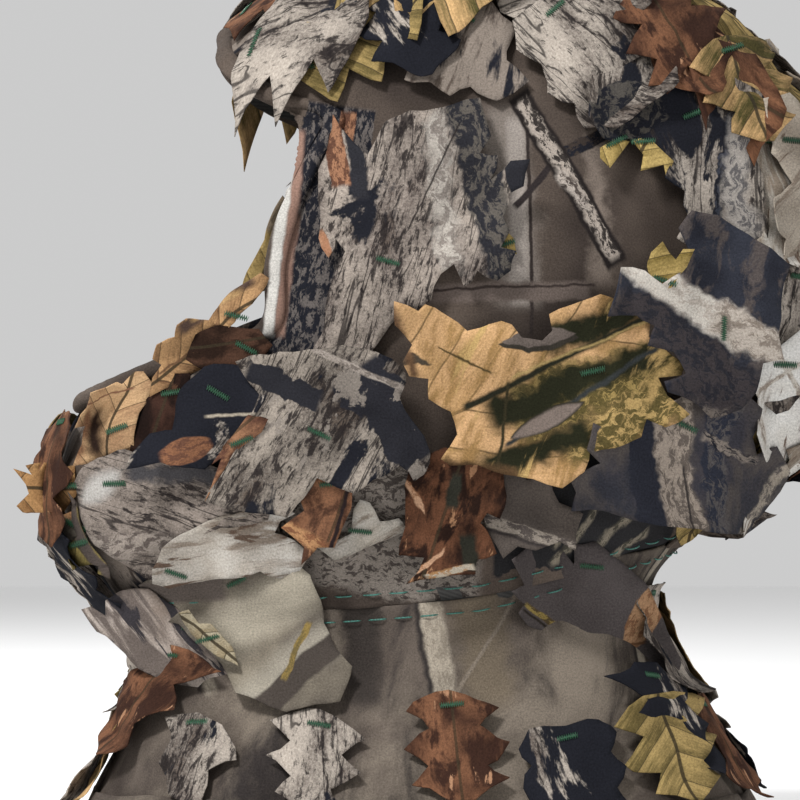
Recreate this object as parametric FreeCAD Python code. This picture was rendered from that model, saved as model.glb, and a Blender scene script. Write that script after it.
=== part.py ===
"""Leafy camouflage face mask: a sewn cloth hood that covers head, face and neck.

Base cloth panels are thin closed solids laid on one smooth head form. Cloth leaves lie over
them in layers, each held by one bar-tack. The wearer faces -Y, +X is the wearer's left, +Z up.
The origin lies in the head, between the ears. All sizes are in millimetres.
"""
import FreeCAD, Part
import math
import os
from FreeCAD import Vector

# ---- driving dimensions -----------------------------------------------------------------
CROWN_TOP = 148          # height of the crown above the ear line
CROWN_BASE = 39          # height where the round crown begins
HEAD_FRONT = -90         # front and back of the head at the crown's base
HEAD_BACK = 140
HEAD_HALF_WIDTH = 84
HEAD_CENTRE = (HEAD_FRONT + HEAD_BACK) / 2
CLOTH = 1.0              # thickness of a base panel with its seam allowance
TAPE = 0.6               # thickness of tapes, bindings and leaves
LEAF = 0.5
LEAF_FLOOR = 2.2         # height of the lowest layer of leaves above the base cloth
LEAF_LAYER = 2.0         # height from one layer of leaves to the next
SEAM_GAP = 0.3           # gap between neighbouring panels
CLEAR = 0.6              # gap between a panel and a tape, elastic or stitch along it
GUSSET_HALF = 32         # half of the crown gusset's width at the brow
GUSSET_TAPER = 3         # how much narrower each half is at the nape
BROW_TILT = 128          # the gusset's ends, tilted from the back (0) over straight up (90)
NAPE_TILT = -25
NAPE_TURN = 154          # where the gusset's seam meets the neck, turned from the front (0)
ELASTIC = 0.9            # thickness of the elastics
NECK_FRONT = -68         # height of the neck casing at the throat and at the nape
NECK_BACK = -44
CASING_HALF = 6          # half of the neck casing's height
HEM = -138               # height of the drape's lower edge
HEM_BAND = 12
BINDING = 1.2            # thickness of the rolled binding of the eye opening
BINDING_WIDTH = 7
TACK_LENGTH = 8
TACK_WIDTH = 1.8
TACK_HEIGHT = 0.6
TACK_GAP = 0.4           # gap between a leaf and its bar-tack
TACK_SHARE = 0.08        # the bar-tack's place along its leaf
STITCH_LENGTH = 5.6      # a long stitch on the neck casing, and the pitch of its row
STITCH_PITCH = 8.4
STITCH_WIDTH = 0.9
STITCH_HEIGHT = 0.5

# Level sections of the head form below the crown: height, front, back, half-width.
LEVELS = [
    (HEM, -104, 118, 104), (-120, -96, 108, 90), (-100, -87, 96, 76), (-84, -81, 88, 66),
    (-70, -86, 80, 62), (-56, -98, 82, 64), (-42, -109, 96, 69), (-24, -112, 118, 75),
    (-8, -106, 132, 79), (8, -98, 138, 82), (24, -92, 140, 83.5),
    (CROWN_BASE, HEAD_FRONT, HEAD_BACK, HEAD_HALF_WIDTH),
]


# ---- the head form ----------------------------------------------------------------------
def blend_levels(z, column):
    """One column of LEVELS at height z, along a smooth cubic through its values."""
    z = max(LEVELS[0][0], min(z, CROWN_BASE))
    last = len(LEVELS) - 2
    k = max(i for i in range(last + 1) if LEVELS[i][0] <= z)

    def slope(i):
        low, high = LEVELS[max(i - 1, 0)], LEVELS[min(i + 1, last + 1)]
        return 0.0 if i == last + 1 else (high[column] - low[column]) / (high[0] - low[0])

    step = LEVELS[k + 1][0] - LEVELS[k][0]
    t = (z - LEVELS[k][0]) / step
    return ((2 * t**3 - 3 * t**2 + 1) * LEVELS[k][column] + (t**3 - 2 * t**2 + t) * step * slope(k)
            + (3 * t**2 - 2 * t**3) * LEVELS[k + 1][column] + (t**3 - t**2) * step * slope(k + 1))


def section(z):
    """Front radius, back radius and half-width of the head form at height z."""
    front, back, wide = (blend_levels(z, column) for column in (1, 2, 3))
    return HEAD_CENTRE - front, back - HEAD_CENTRE, wide


def level(p):
    """1 on the head form, less inside it, more outside it."""
    front, back, wide = section(p.z)
    along = (p.y - HEAD_CENTRE) / (front if p.y < HEAD_CENTRE else back)
    rise = max(0.0, p.z - CROWN_BASE) / (CROWN_TOP - CROWN_BASE)
    return math.sqrt((p.x / wide) ** 2 + along ** 2 + rise ** 2)


def slope_of_level(p, h=0.2):
    steps = (Vector(h, 0, 0), Vector(0, h, 0), Vector(0, 0, h))
    return Vector(*[(level(p + s) - level(p - s)) / (2 * h) for s in steps])


def normal(p):
    return slope_of_level(p).normalize()


def settle(p):
    """The point p moved square to the head form until it lies on it."""
    for _ in range(6):
        slope = slope_of_level(p)
        p = p - slope * ((level(p) - 1) / slope.dot(slope))
    return p


def beside(y, z):
    """The point on the wearer's left of the head form at y and z, seen square from the side."""
    front, back, wide = section(z)
    along = (y - HEAD_CENTRE) / (front if y < HEAD_CENTRE else back)
    rise = max(0.0, z - CROWN_BASE) / (CROWN_TOP - CROWN_BASE)
    return settle(Vector(wide * math.sqrt(max(0.0, 1 - along ** 2 - rise ** 2)), y, z))


def around(turn, z):
    """The point on the head form at height z, turned from the front (0) over the left (90)."""
    front, back, wide = section(z)
    c, s = math.cos(math.radians(turn)), math.sin(math.radians(turn))
    return Vector(wide * s, HEAD_CENTRE - (front if c > 0 else back) * c, z)


def neck_height(turn):
    return NECK_FRONT + (NECK_BACK - NECK_FRONT) * ((1 - math.cos(math.radians(turn))) / 2) ** 2


def over_crown(x, tilt):
    """The point on the head form at x, where tilt 0 points to the back and 90 straight up."""
    c, s = math.cos(math.radians(tilt)), math.sin(math.radians(tilt))
    near, far = 0.0, 300.0
    for _ in range(40):
        middle = (near + far) / 2
        if level(Vector(x, HEAD_CENTRE + middle * c, middle * s)) < 1:
            near = middle
        else:
            far = middle
    return Vector(x, HEAD_CENTRE + near * c, near * s)


# ---- solids from points -----------------------------------------------------------------
def mirrored(points):
    return [Vector(-p.x, p.y, p.z) for p in points]


def smooth_line(points):
    """A function from 0..1 to points along a smooth line through the given points."""
    curve = Part.BSplineCurve()
    curve.interpolate(points)
    first, last = curve.FirstParameter, curve.LastParameter
    return lambda t: curve.value(first + t * (last - first))


def coons(low, high, start, end, s, t):
    """The point of a four-sided patch: low and high run along s, start and end along t."""
    ruled_t = low(s) * (1 - t) + high(s) * t
    ruled_s = start(t) * (1 - s) + end(t) * s
    corners = (low(0) * (1 - s) + low(1) * s) * (1 - t) + (high(0) * (1 - s) + high(1) * s) * t
    return ruled_t + ruled_s - corners


def slab(grid, low, high):
    """A closed solid on a grid of points of the head form, from height low to high above it."""
    normals = [[normal(p) for p in row] for row in grid]
    skins, borders = [], []
    for height in (low, high):
        points = [[p + n * height for p, n in zip(row, tilts)]
                  for row, tilts in zip(grid, normals)]
        surface = Part.BSplineSurface()
        surface.interpolate(points)
        u0, u1, v0, v1 = surface.bounds()
        skins.append(surface.toShape())
        borders.append([surface.vIso(v0).toShape(), surface.vIso(v1).toShape(),
                        surface.uIso(u0).toShape(), surface.uIso(u1).toShape()])
    sides = [Part.makeRuledSurface(a, b) for a, b in zip(*borders)]
    shell = Part.makeShell([skins[0], skins[1]] + sides)
    shell.sewShape()
    solid = Part.Solid(shell)
    return solid.reversed() if solid.Volume < 0 else solid


def panel(low, high, start, end, rows, columns, mirror=False):
    """A base cloth panel between four smooth edges, a seam gap inside them."""
    width = (low(0.5) - high(0.5)).Length
    length = (start(0.5) - end(0.5)).Length
    s_gap, t_gap = SEAM_GAP / 2 / length, SEAM_GAP / 2 / width
    grid = []
    for i in range(rows):
        t = t_gap + (1 - 2 * t_gap) * i / (rows - 1)
        row = [settle(coons(low, high, start, end, s_gap + (1 - 2 * s_gap) * j / (columns - 1), t))
               for j in range(columns)]
        grid.append(mirrored(row) if mirror else row)
    return slab(grid, -CLOTH, 0)


def faceted(top, bottom, rim):
    """A closed solid with flat three-sided faces: matching top and bottom points, and the rim."""
    faces = []
    cells, count = len(top[0]) - 1, len(top) - 1

    def facet(*corners):
        faces.append(Part.Face(Part.makePolygon(list(corners) + [corners[0]])))

    for skin in (top, bottom):
        for i in range(count):
            for j in range(cells):
                a, b, c, d = skin[i][j], skin[i][j + 1], skin[i + 1][j + 1], skin[i + 1][j]
                facet(a, b, c)
                facet(a, c, d)
    for (i, j), (k, m) in zip(rim, rim[1:] + rim[:1]):
        facet(top[i][j], top[k][m], bottom[k][m])
        facet(top[i][j], bottom[k][m], bottom[i][j])
    shell = Part.makeShell(faces)
    shell.sewShape()
    solid = Part.Solid(shell)
    return solid.reversed() if solid.Volume < 0 else solid


def grid_rim(rows, columns):
    return ([(0, j) for j in range(columns)] + [(i, columns - 1) for i in range(1, rows)]
            + [(rows - 1, j) for j in range(columns - 2, -1, -1)]
            + [(i, 0) for i in range(rows - 2, 0, -1)])


# ---- edges that the panels share --------------------------------------------------------
BROW_CORNER = (-24, 86)
TEMPLE_CORNER = (-43, 26)
JAW_CORNER = (-34, -67)
BRIDGE_HEIGHT = 2
BROW_HEIGHT = 92
BRIDGE = ((0, BRIDGE_HEIGHT), (20, 7), (40, 17))      # turn and height of the nose bridge's edge
CROWN_FRONT_TILT = 126                               # tilt of the brow's edge at the middle

nape_seam = around(NAPE_TURN, neck_height(NAPE_TURN))
temple_edge = smooth_line([beside(*BROW_CORNER), beside(-38, 58), beside(*TEMPLE_CORNER)])
cheek_seam = smooth_line([beside(*TEMPLE_CORNER), beside(-44, -10), beside(-38, -42),
                          beside(*JAW_CORNER)])


def front_edge(t):
    """The hood panel's front: the temple edge for the first half, then the cheek seam."""
    return temple_edge(2 * t) if t < 0.5 else cheek_seam(2 * t - 1)


def gusset_edge(t):
    """The seam between hood panel and crown gusset, from the brow back to the nape."""
    tilt = BROW_TILT - t * (BROW_TILT - NAPE_TILT)
    over = over_crown(GUSSET_HALF - GUSSET_TAPER * t, tilt)
    return settle(over * (1 - t**6) + nape_seam * t**6)


def jaw_turn():
    p = beside(*JAW_CORNER)
    return min(range(20, 100), key=lambda a: (around(a, neck_height(a)) - p).Length)


JAW_TURN = jaw_turn()


def neck_edge(from_turn, to_turn):
    turns = [from_turn + (to_turn - from_turn) * i / 8 for i in range(9)]
    return smooth_line([around(a, neck_height(a)) for a in turns])


def brow_edge():
    corner = beside(*BROW_CORNER)
    return smooth_line([corner, settle((corner + gusset_edge(0)) / 2 + Vector(0, -6, 1)),
                        gusset_edge(0)])


# ---- base cloth -------------------------------------------------------------------------
def base_panels():
    hood = (front_edge, gusset_edge, brow_edge(), neck_edge(JAW_TURN, NAPE_TURN), 13, 17)
    bridge = smooth_line([around(a, z) for a, z in BRIDGE] + [beside(*TEMPLE_CORNER)])
    chin_line = smooth_line([around(0, z) for z in (BRIDGE_HEIGHT, -16, -34, -50, NECK_FRONT)])
    throat = neck_edge(0, JAW_TURN)
    cheek = (chin_line, cheek_seam, bridge, throat, 13, 13)
    crown = (gusset_edge, lambda t: Vector(-gusset_edge(t).x, gusset_edge(t).y, gusset_edge(t).z))
    crown_start = smooth_line([gusset_edge(0), over_crown(0, CROWN_FRONT_TILT), crown[1](0)])
    crown_end = smooth_line([gusset_edge(1), around(180, NECK_BACK), crown[1](1)])
    parts = {"crown_panel": panel(*crown, crown_start, crown_end, 7, 21)}
    for side, mirror in (("left", False), ("right", True)):
        parts[side + "_hood_panel"] = panel(*hood, mirror=mirror)
        parts[side + "_cheek_panel"] = panel(*cheek, mirror=mirror)
        parts[side + "_drape_panel"] = drape_panel(mirror)
    return parts


def band(turns, low_edge, high_edge, low, high, rows=3):
    """A strip that follows the head form between two heights at each turn."""
    grid = []
    for i in range(rows):
        t = i / (rows - 1)
        grid.append([around(a, low_edge(a) * (1 - t) + high_edge(a) * t) for a in turns])
    return slab(grid, low, high)


def drape_panel(mirror):
    end_gap = 0.1            # degrees from the centre seam
    turns = [end_gap + (180 - 2 * end_gap) * i / 24 for i in range(25)]
    turns = [-a for a in turns] if mirror else turns
    return band(turns, lambda a: HEM, lambda a: neck_height(a) - SEAM_GAP, -CLOTH, 0, 12)


def half_bands(name, low_edge, high_edge, low, high):
    """A left and a right strip round the neck or hem, as one node of two solids."""
    strips = []
    for sign in (1, -1):
        turns = [sign * (0.5 + 179 * i / 24) for i in range(25)]
        strips.append(band(turns, low_edge, high_edge, low, high))
    return {name: Part.makeCompound(strips)}


def bindings():
    """Tapes, elastics and hems that finish the edges and cover the seams."""
    parts = half_bands("neck_elastic", lambda a: neck_height(a) - 4, lambda a: neck_height(a) + 4,
                       -CLOTH - 2 * CLEAR - ELASTIC, -CLOTH - 2 * CLEAR)
    parts.update(half_bands("neck_casing", lambda a: neck_height(a) - CASING_HALF,
                            lambda a: neck_height(a) + CASING_HALF,
                            -CLOTH - 3 * CLEAR - ELASTIC - TAPE, -CLOTH - 3 * CLEAR - ELASTIC))
    parts.update(half_bands("drape_hem", lambda a: HEM, lambda a: HEM + HEM_BAND,
                            CLEAR, CLEAR + TAPE))
    tape = [[settle(Vector(x, around(0, z).y, z)) for z in (-4, -16, -28, -40, -50, -58)]
            for x in (-5, 0, 5)]
    parts["chin_seam_tape"] = slab(tape, -CLOTH - CLEAR - TAPE, -CLOTH - CLEAR)
    for side, sign in (("left", 1), ("right", -1)):
        steps = [0.04 + 0.86 * i / 12 for i in range(13)]
        tape = []
        for offset in (-4, 0, 4):
            row = [settle(gusset_edge(t) + Vector(offset, 0, 0)) for t in steps]
            tape.append(row if sign > 0 else mirrored(row))
        parts[side + "_crown_seam_tape"] = slab(tape, -CLOTH - CLEAR - TAPE, -CLOTH - CLEAR)
    return parts


def eye_edge():
    """The binding folded over the edge of the eye opening and the elastic behind the edge."""
    line = smooth_line([around(a, z) for a, z in BRIDGE]
                       + [beside(*TEMPLE_CORNER), beside(-42, 42), beside(-38, 58),
                          beside(-29, 76), beside(*BROW_CORNER), brow_edge()(0.5),
                          gusset_edge(0), over_crown(0, CROWN_FRONT_TILT)])
    middle = Vector(0, HEAD_FRONT, (BRIDGE_HEIGHT + BROW_HEIGHT) / 2)
    parts = {}
    for node, near, far, low, high in (
            ("eye_opening_binding", 0, BINDING_WIDTH, CLEAR, CLEAR + BINDING),
            ("eye_opening_elastic", 1, 5, -CLOTH - CLEAR - ELASTIC, -CLOTH - CLEAR)):
        strips = []
        for mirror in (False, True):
            grid = []
            for reach in (near, (near + far) / 2, far):
                row = []
                for i in range(29):
                    p = line(0.006 + 0.988 * i / 28)
                    outward = p - middle
                    up = normal(p)
                    outward = (outward - up * outward.dot(up)).normalize()
                    row.append(settle(p + outward * reach))
                grid.append(mirrored(row) if mirror else row)
            strips.append(slab(grid, low, high))
        parts[node] = Part.makeCompound(strips)
    return parts


def casing_stitches():
    """Two rows of long stitches that hold the neck casing, on the outside of the base cloth."""
    stitches = []
    for sign in (1, -1):
        for row in (-4, 4):
            length, a, previous = 0.0, 3.0, around(3, neck_height(3))
            while a < 177:
                a += 0.5
                p = around(a, neck_height(a))
                length += (p - previous).Length
                previous = p
                if length < STITCH_PITCH:
                    continue
                length = 0.0
                foot = settle(around(sign * a, neck_height(a) + row))
                ahead = settle(around(sign * (a + 1), neck_height(a + 1) + row)) - foot
                stitches.append(block(foot, ahead, STITCH_LENGTH, STITCH_WIDTH,
                                      1.5 * CLEAR, 1.5 * CLEAR + STITCH_HEIGHT))
    return {"casing_stitches": Part.makeCompound(stitches)}


def block(foot, ahead, length, width, low, high):
    """A small bar along ahead, standing from low to high above the point foot."""
    up = normal(foot)
    along = (ahead - up * ahead.dot(up)).normalize()
    across = up.cross(along)
    base = foot + up * low - along * (length / 2) - across * (width / 2)
    corners = [base, base + along * length, base + along * length + across * width,
               base + across * width, base]
    return Part.Face(Part.makePolygon(corners)).extrude(up * (high - low))


# ---- cloth leaves -----------------------------------------------------------------------
# Half-widths along each leaf shape as shares of the leaf's width, from its tack to its tip.
SHAPES = {
    "oak": (0.16, 0.42, 0.30, 0.50, 0.34, 0.46, 0.22, 0.06),
    "maple": (0.20, 0.50, 0.34, 0.50, 0.24, 0.34, 0.08),
    "willow": (0.20, 0.44, 0.50, 0.46, 0.36, 0.22, 0.06),
    "patch": (0.40, 0.50, 0.44, 0.50, 0.42, 0.48, 0.34),
}
# Each leaf on the wearer's left: y and z of its tack, direction in the side view (0 points
# back, 90 up), length, width, shape, curl of its tip away from the head.
# Leaves are listed from the bottom layer up.
LEFT_LEAVES = {
    "left_back_cream_leaf": (118, 66, -70, 46, 34, "maple", 1),
    "left_back_trunk_leaf": (92, 88, -80, 50, 34, "patch", 1),
    "left_crown_twig_leaf": (22, 118, -80, 52, 40, "oak", 1),
    "left_temple_bark_leaf": (4, 84, -82, 74, 62, "oak", 2),
    "left_nape_white_leaf": (112, 22, -84, 38, 30, "maple", 2),
    "left_nape_bark_leaf": (66, -8, -24, 58, 40, "patch", 2),
    "left_jaw_branch_leaf": (46, -22, -82, 32, 26, "oak", 1),
    "left_jaw_rust_leaf": (20, -18, -100, 44, 32, "maple", 2),
    "left_cheekbone_bark_leaf": (0, 6, -168, 46, 36, "patch", 2),
    "left_cheek_rust_leaf": (-16, -28, -140, 26, 20, "oak", 1),
    "left_cheek_bark_leaf": (-46, -26, -172, 50, 40, "oak", 2),
    "left_chin_cream_leaf": (-30, -50, 176, 44, 22, "maple", 1),
    "left_drape_twig_leaf": (54, -50, -70, 44, 38, "patch", 3),
    "left_throat_bark_leaf": (-44, -78, -160, 40, 24, "willow", 2),
    "left_throat_khaki_leaf": (-40, -92, -100, 32, 22, "oak", 1),
    "left_drape_cream_leaf": (4, -84, -80, 44, 34, "maple", 1),
    "left_drape_bark_leaf": (-62, -100, -110, 30, 28, "oak", 1),
}
# Leaves that stand free on top of the others and lift about their tack. All but the brow leaf
# are on the wearer's left.
LIFTING_LEAVES = {
    "left_temple_gold_leaf": (56, 10, 180, 56, 46, "oak", 4),
    "left_ear_navy_leaf": (96, 26, 172, 40, 46, "patch", 4),
    "left_cheek_gold_leaf": (-44, 24, -150, 36, 22, "oak", 6),
    "left_nose_tan_leaf": (-76, 4, -150, 34, 26, "oak", 6),
    "left_chin_khaki_leaf": (-80, -34, -140, 30, 20, "willow", 5),
    "right_brow_khaki_leaf": (-26, 60, -132, 38, 24, "willow", 2),
}
LEAF_COLUMNS = 5         # points across a leaf
REACH = 12               # leaves closer than this lie in different layers


def leaf_frame(y, z, direction, side):
    """Tack point, direction, side direction and normal of a leaf."""
    foot = beside(y, z)
    up = normal(foot)
    a = math.radians(direction)
    ahead = Vector(0, math.cos(a), math.sin(a))
    ahead = (ahead - up * ahead.dot(up)).normalize()
    if side < 0:
        foot, ahead, up = mirrored([foot, ahead, up])
    return foot, ahead, up.cross(ahead), up


def leaf_feet(spec, side):
    """The leaf's grid of points on the head form: rows along it, columns across it."""
    y, z, direction, length, width, shape, _ = spec
    foot, ahead, across, _ = leaf_frame(y, z, direction, side)
    halves = SHAPES[shape]
    rows = []
    for i, half in enumerate(halves):
        s = length * i / (len(halves) - 1)
        points = []
        for j in range(LEAF_COLUMNS):
            t = width * half * (2 * j / (LEAF_COLUMNS - 1) - 1)
            points.append(settle(foot + ahead * s + across * t))
        rows.append(points)
    return rows


def leaf_solid(feet, height, curl):
    """A thin leaf at a height above the base cloth, its tip curling up by curl."""
    last = len(feet) - 1
    skins = []
    for offset in (LEAF, 0):
        skins.append([[p + normal(p) * (height + curl * (i / last) ** 2 + offset) for p in row]
                      for i, row in enumerate(feet)])
    return faceted(skins[0], skins[1], grid_rim(len(feet), LEAF_COLUMNS))


def tack_solid(spec, side, height):
    y, z, direction, length, _, _, curl = spec
    foot, ahead, across, _ = leaf_frame(y, z, direction, side)
    place = settle(foot + ahead * (length * TACK_SHARE))
    low = height + LEAF + curl * TACK_SHARE**2 + TACK_GAP
    return block(place, across, TACK_LENGTH * 0.9, TACK_WIDTH, low, low + TACK_HEIGHT)


class Stack:
    """Finds each new leaf a layer that no leaf near it uses, and keeps lifting leaves on top."""

    def __init__(self):
        self.placed = []

    def height_for(self, feet, on_top):
        points = [p for row in feet for p in row]
        near = {layer for other, layer in self.placed
                if any((p - q).Length < REACH for p in points for q in other)}
        layer = 1 + max(near, default=-1) if on_top else min(set(range(20)) - near)
        self.placed.append((points, layer))
        return LEAF_FLOOR + LEAF_LAYER * layer


# Small leaves on the wearer's left, and leaves over the crown, the back and the drape's front.
SMALL_LEFT = [(62, 80, -60, 16, 14, "willow", 0), (74, 80, -100, 14, 13, "willow", 0),
              (84, 48, 150, 17, 15, "willow", 0), (-24, 40, -120, 20, 18, "oak", 0),
              (-66, -60, -150, 24, 20, "oak", 1)]
CROWN = [(-24, 118, 10, 46, 38, "oak", 2), (26, 138, -8, 50, 38, "patch", 2),
         (74, 132, -28, 48, 36, "maple", 2), (60, 112, -50, 36, 30, "oak", 1)]
BACK = [(116, 98, -62, 46, 36, "oak", 2), (133, 42, -92, 44, 36, "patch", 2),
        (128, -6, -110, 34, 30, "maple", 1), (98, -92, -76, 36, 32, "oak", 1),
        (60, -92, -70, 38, 34, "patch", 1)]
RIGHT_GROUPS = {
    "right_crown_leaves": ("left_crown_twig_leaf", "left_temple_bark_leaf",
                           "left_back_trunk_leaf"),
    "right_nape_leaves": ("left_back_cream_leaf", "left_ear_navy_leaf", "left_nape_bark_leaf",
                          "left_nape_white_leaf"),
    "right_cheek_leaves": ("left_cheekbone_bark_leaf", "left_cheek_rust_leaf",
                           "left_cheek_bark_leaf", "left_cheek_gold_leaf",
                           "left_nose_tan_leaf", "left_chin_khaki_leaf"),
    "right_jaw_leaves": ("left_jaw_branch_leaf", "left_jaw_rust_leaf", "left_chin_cream_leaf",
                         "left_temple_gold_leaf"),
    "right_drape_leaves": ("left_drape_twig_leaf", "left_throat_bark_leaf",
                           "left_throat_khaki_leaf", "left_drape_cream_leaf",
                           "left_drape_bark_leaf"),
}


def leaf_groups():
    """Node name, its leaves as (spec, side) and whether it lifts, from the bottom layer up."""
    every = {**LEFT_LEAVES, **LIFTING_LEAVES}
    groups = [("crown_leaves", [(spec, side) for side in (1, -1) for spec in CROWN], False),
              ("back_leaves", [(spec, side) for side in (1, -1) for spec in BACK], False),
              ("left_small_leaves", [(spec, 1) for spec in SMALL_LEFT], False)]
    groups += [(name, [(spec, 1)], False) for name, spec in LEFT_LEAVES.items()]
    groups += [(group, [(every[name], -1) for name in names], False)
               for group, names in RIGHT_GROUPS.items()]
    groups += [(name, [(spec, 1 if name.startswith("left") else -1)], True)
               for name, spec in LIFTING_LEAVES.items()]
    return groups


def leaves():
    parts, tacks, stack = {}, {1: [], -1: []}, Stack()
    for group, members, lifts in leaf_groups():
        solids = []
        for spec, side in members:
            feet = leaf_feet(spec, side)
            height = stack.height_for(feet, lifts)
            solids.append(leaf_solid(feet, height, spec[-1]))
            tack = tack_solid(spec, side, height)
            if lifts:
                parts[group.replace("_leaf", "_tack")] = tack
                print_hinge(group, spec, side, height)
            else:
                tacks[side].append(tack)
        parts[group] = solids[0] if len(solids) == 1 else Part.makeCompound(solids)
    parts["left_bar_tacks"] = Part.makeCompound(tacks[1])
    parts["right_bar_tacks"] = Part.makeCompound(tacks[-1])
    return parts


def print_hinge(name, spec, side, height):
    """Prints the hinge line of a lifting leaf, in metres, for the joint list."""
    foot, ahead, _, up = leaf_frame(*spec[:3], side)
    foot = foot + up * height
    axis = ahead.cross(up)
    print("hinge", name, *[round(c / 1000, 4) for c in foot], *[round(c, 4) for c in axis])


# ---- write every piece ------------------------------------------------------------------
os.makedirs("parts", exist_ok=True)
pieces = {}
for make in (base_panels, bindings, eye_edge, casing_stitches, leaves):
    pieces.update(make())
for node, shape in pieces.items():
    shape.exportStep("parts/" + node + ".step")
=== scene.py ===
"""Looks of the leafy camouflage face mask: sewn base cloth, printed cloth leaves and thread.

Everything is in metres in the frame of the CAD model: the wearer faces -Y, +X is the wearer's
left and +Z is up. Leaf shapes and prints are laid out in millimetres on the (Y, Z) side plane.
"""
import math
import bpy
import numpy as np
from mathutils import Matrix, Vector
from mathutils.geometry import delaunay_2d_cdt


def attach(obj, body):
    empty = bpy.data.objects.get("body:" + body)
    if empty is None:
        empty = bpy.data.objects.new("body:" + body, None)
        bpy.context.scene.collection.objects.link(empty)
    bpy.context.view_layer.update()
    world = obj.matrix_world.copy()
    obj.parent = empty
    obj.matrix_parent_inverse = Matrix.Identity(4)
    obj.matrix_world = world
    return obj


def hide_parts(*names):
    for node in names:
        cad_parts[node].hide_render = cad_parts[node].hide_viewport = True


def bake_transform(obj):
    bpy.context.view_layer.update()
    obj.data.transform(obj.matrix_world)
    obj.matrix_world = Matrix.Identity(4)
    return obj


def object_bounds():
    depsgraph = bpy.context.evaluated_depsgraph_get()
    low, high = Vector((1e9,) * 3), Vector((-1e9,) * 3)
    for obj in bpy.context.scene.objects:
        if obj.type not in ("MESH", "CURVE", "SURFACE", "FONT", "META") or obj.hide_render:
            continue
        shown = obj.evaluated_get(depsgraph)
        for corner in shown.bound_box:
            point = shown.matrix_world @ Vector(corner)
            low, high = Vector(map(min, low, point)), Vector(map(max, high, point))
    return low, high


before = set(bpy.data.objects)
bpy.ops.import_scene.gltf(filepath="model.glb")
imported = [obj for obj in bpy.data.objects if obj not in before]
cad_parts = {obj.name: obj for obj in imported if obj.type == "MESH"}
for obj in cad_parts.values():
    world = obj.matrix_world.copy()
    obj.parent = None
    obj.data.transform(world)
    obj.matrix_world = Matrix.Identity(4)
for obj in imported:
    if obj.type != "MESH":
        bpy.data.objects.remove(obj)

cad_low, cad_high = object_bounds()

# ---- Studio -----------------------------------------------------------------------------
# A pale floor just under the hem, soft daylight from all round, one large soft key from the
# front left of the wearer and a weaker fill, and a long lens square to the wearer's left.
MM = 0.001


def aim(thing, target):
    """Turns a lamp or camera so that it looks from its place at the target."""
    away = np.array(target) - np.array(thing.location)
    yaw = math.atan2(-away[0], away[1])
    tilt = math.atan2(away[2], math.hypot(away[0], away[1]))
    thing.rotation_euler = (math.pi / 2 + tilt, 0, yaw)


def add_lamp(name, place, size, power, target=(0, 0, 0)):
    data = bpy.data.lights.new(name, "AREA")
    data.shape, data.size, data.energy = "DISK", size, power
    lamp = bpy.data.objects.new(name, data)
    lamp.location = place
    aim(lamp, target)
    bpy.context.scene.collection.objects.link(lamp)


add_lamp("key_light", (1.2, -0.8, 1.5), 0.40, 40)
add_lamp("fill_light", (1.5, 1.2, 0.1), 1.2, 6)
add_lamp("far_light", (-1.3, -0.6, 1.2), 1.0, 18)

world = bpy.data.worlds.new("studio_air")
world.use_nodes = True
world.node_tree.nodes["Background"].inputs["Color"].default_value = (1.0, 1.0, 1.0, 1)
world.node_tree.nodes["Background"].inputs["Strength"].default_value = 0.60
bpy.context.scene.world = world
bpy.context.scene.view_settings.view_transform = "Standard"

CAMERA_AWAY = 2.2
NEAR_SIDE = 0.07                 # the plane through the near leaves, seen at its true size
VIEW_WIDTH = 0.25
camera_data = bpy.data.cameras.new("camera")
camera_data.sensor_width = 36
camera_data.lens = 36 * (CAMERA_AWAY - NEAR_SIDE) / VIEW_WIDTH
camera = bpy.data.objects.new("camera", camera_data)
camera.location = (CAMERA_AWAY, 0, 0)
aim(camera, (0, 0, 0))
bpy.context.scene.collection.objects.link(camera)
bpy.context.scene.camera = camera


def new_mesh(name, points, *face_sets):
    """A mesh object from an array of points and arrays of faces, each with its own corner count."""
    mesh = bpy.data.meshes.new(name)
    corners = np.concatenate([np.full(len(faces), faces.shape[1]) for faces in face_sets])
    loops = np.concatenate([faces.ravel() for faces in face_sets])
    mesh.vertices.add(len(points))
    mesh.vertices.foreach_set("co", np.asarray(points, dtype=np.float32).ravel())
    mesh.loops.add(len(loops))
    mesh.loops.foreach_set("vertex_index", loops.astype(np.int32))
    mesh.polygons.add(len(corners))
    mesh.polygons.foreach_set("loop_start", (np.cumsum(corners) - corners).astype(np.int32))
    mesh.polygons.foreach_set("use_smooth", np.ones(len(corners), dtype=bool))
    mesh.update(calc_edges=True)
    mesh.validate()
    piece = bpy.data.objects.new(name, mesh)
    bpy.context.scene.collection.objects.link(piece)
    return piece


def plain_material(name, colour, roughness):
    material = bpy.data.materials.new(name)
    material.use_nodes = True
    shader = material.node_tree.nodes["Principled BSDF"]
    shader.inputs["Base Color"].default_value = (*colour, 1)
    shader.inputs["Roughness"].default_value = roughness
    return material


FLOOR_HALF = 3.0
floor = new_mesh("studio_floor", FLOOR_HALF * np.array([[-1, -1, 0], [1, -1, 0], [1, 1, 0], [-1, 1, 0]])
                 + [0, 0, cad_low[2] - 0.004], np.array([[0, 1, 2, 3]]))
floor.data.materials.append(plain_material("pale_floor", (0.86, 0.86, 0.86), 0.9))

# ---- Printed cloth ----------------------------------------------------------------------
# All the cloth is one brushed polyester with a woodland print: bark, twigs, leaves with veins
# and dark gaps. Each piece is cut from another part of the print, so each has its own layers.


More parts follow.
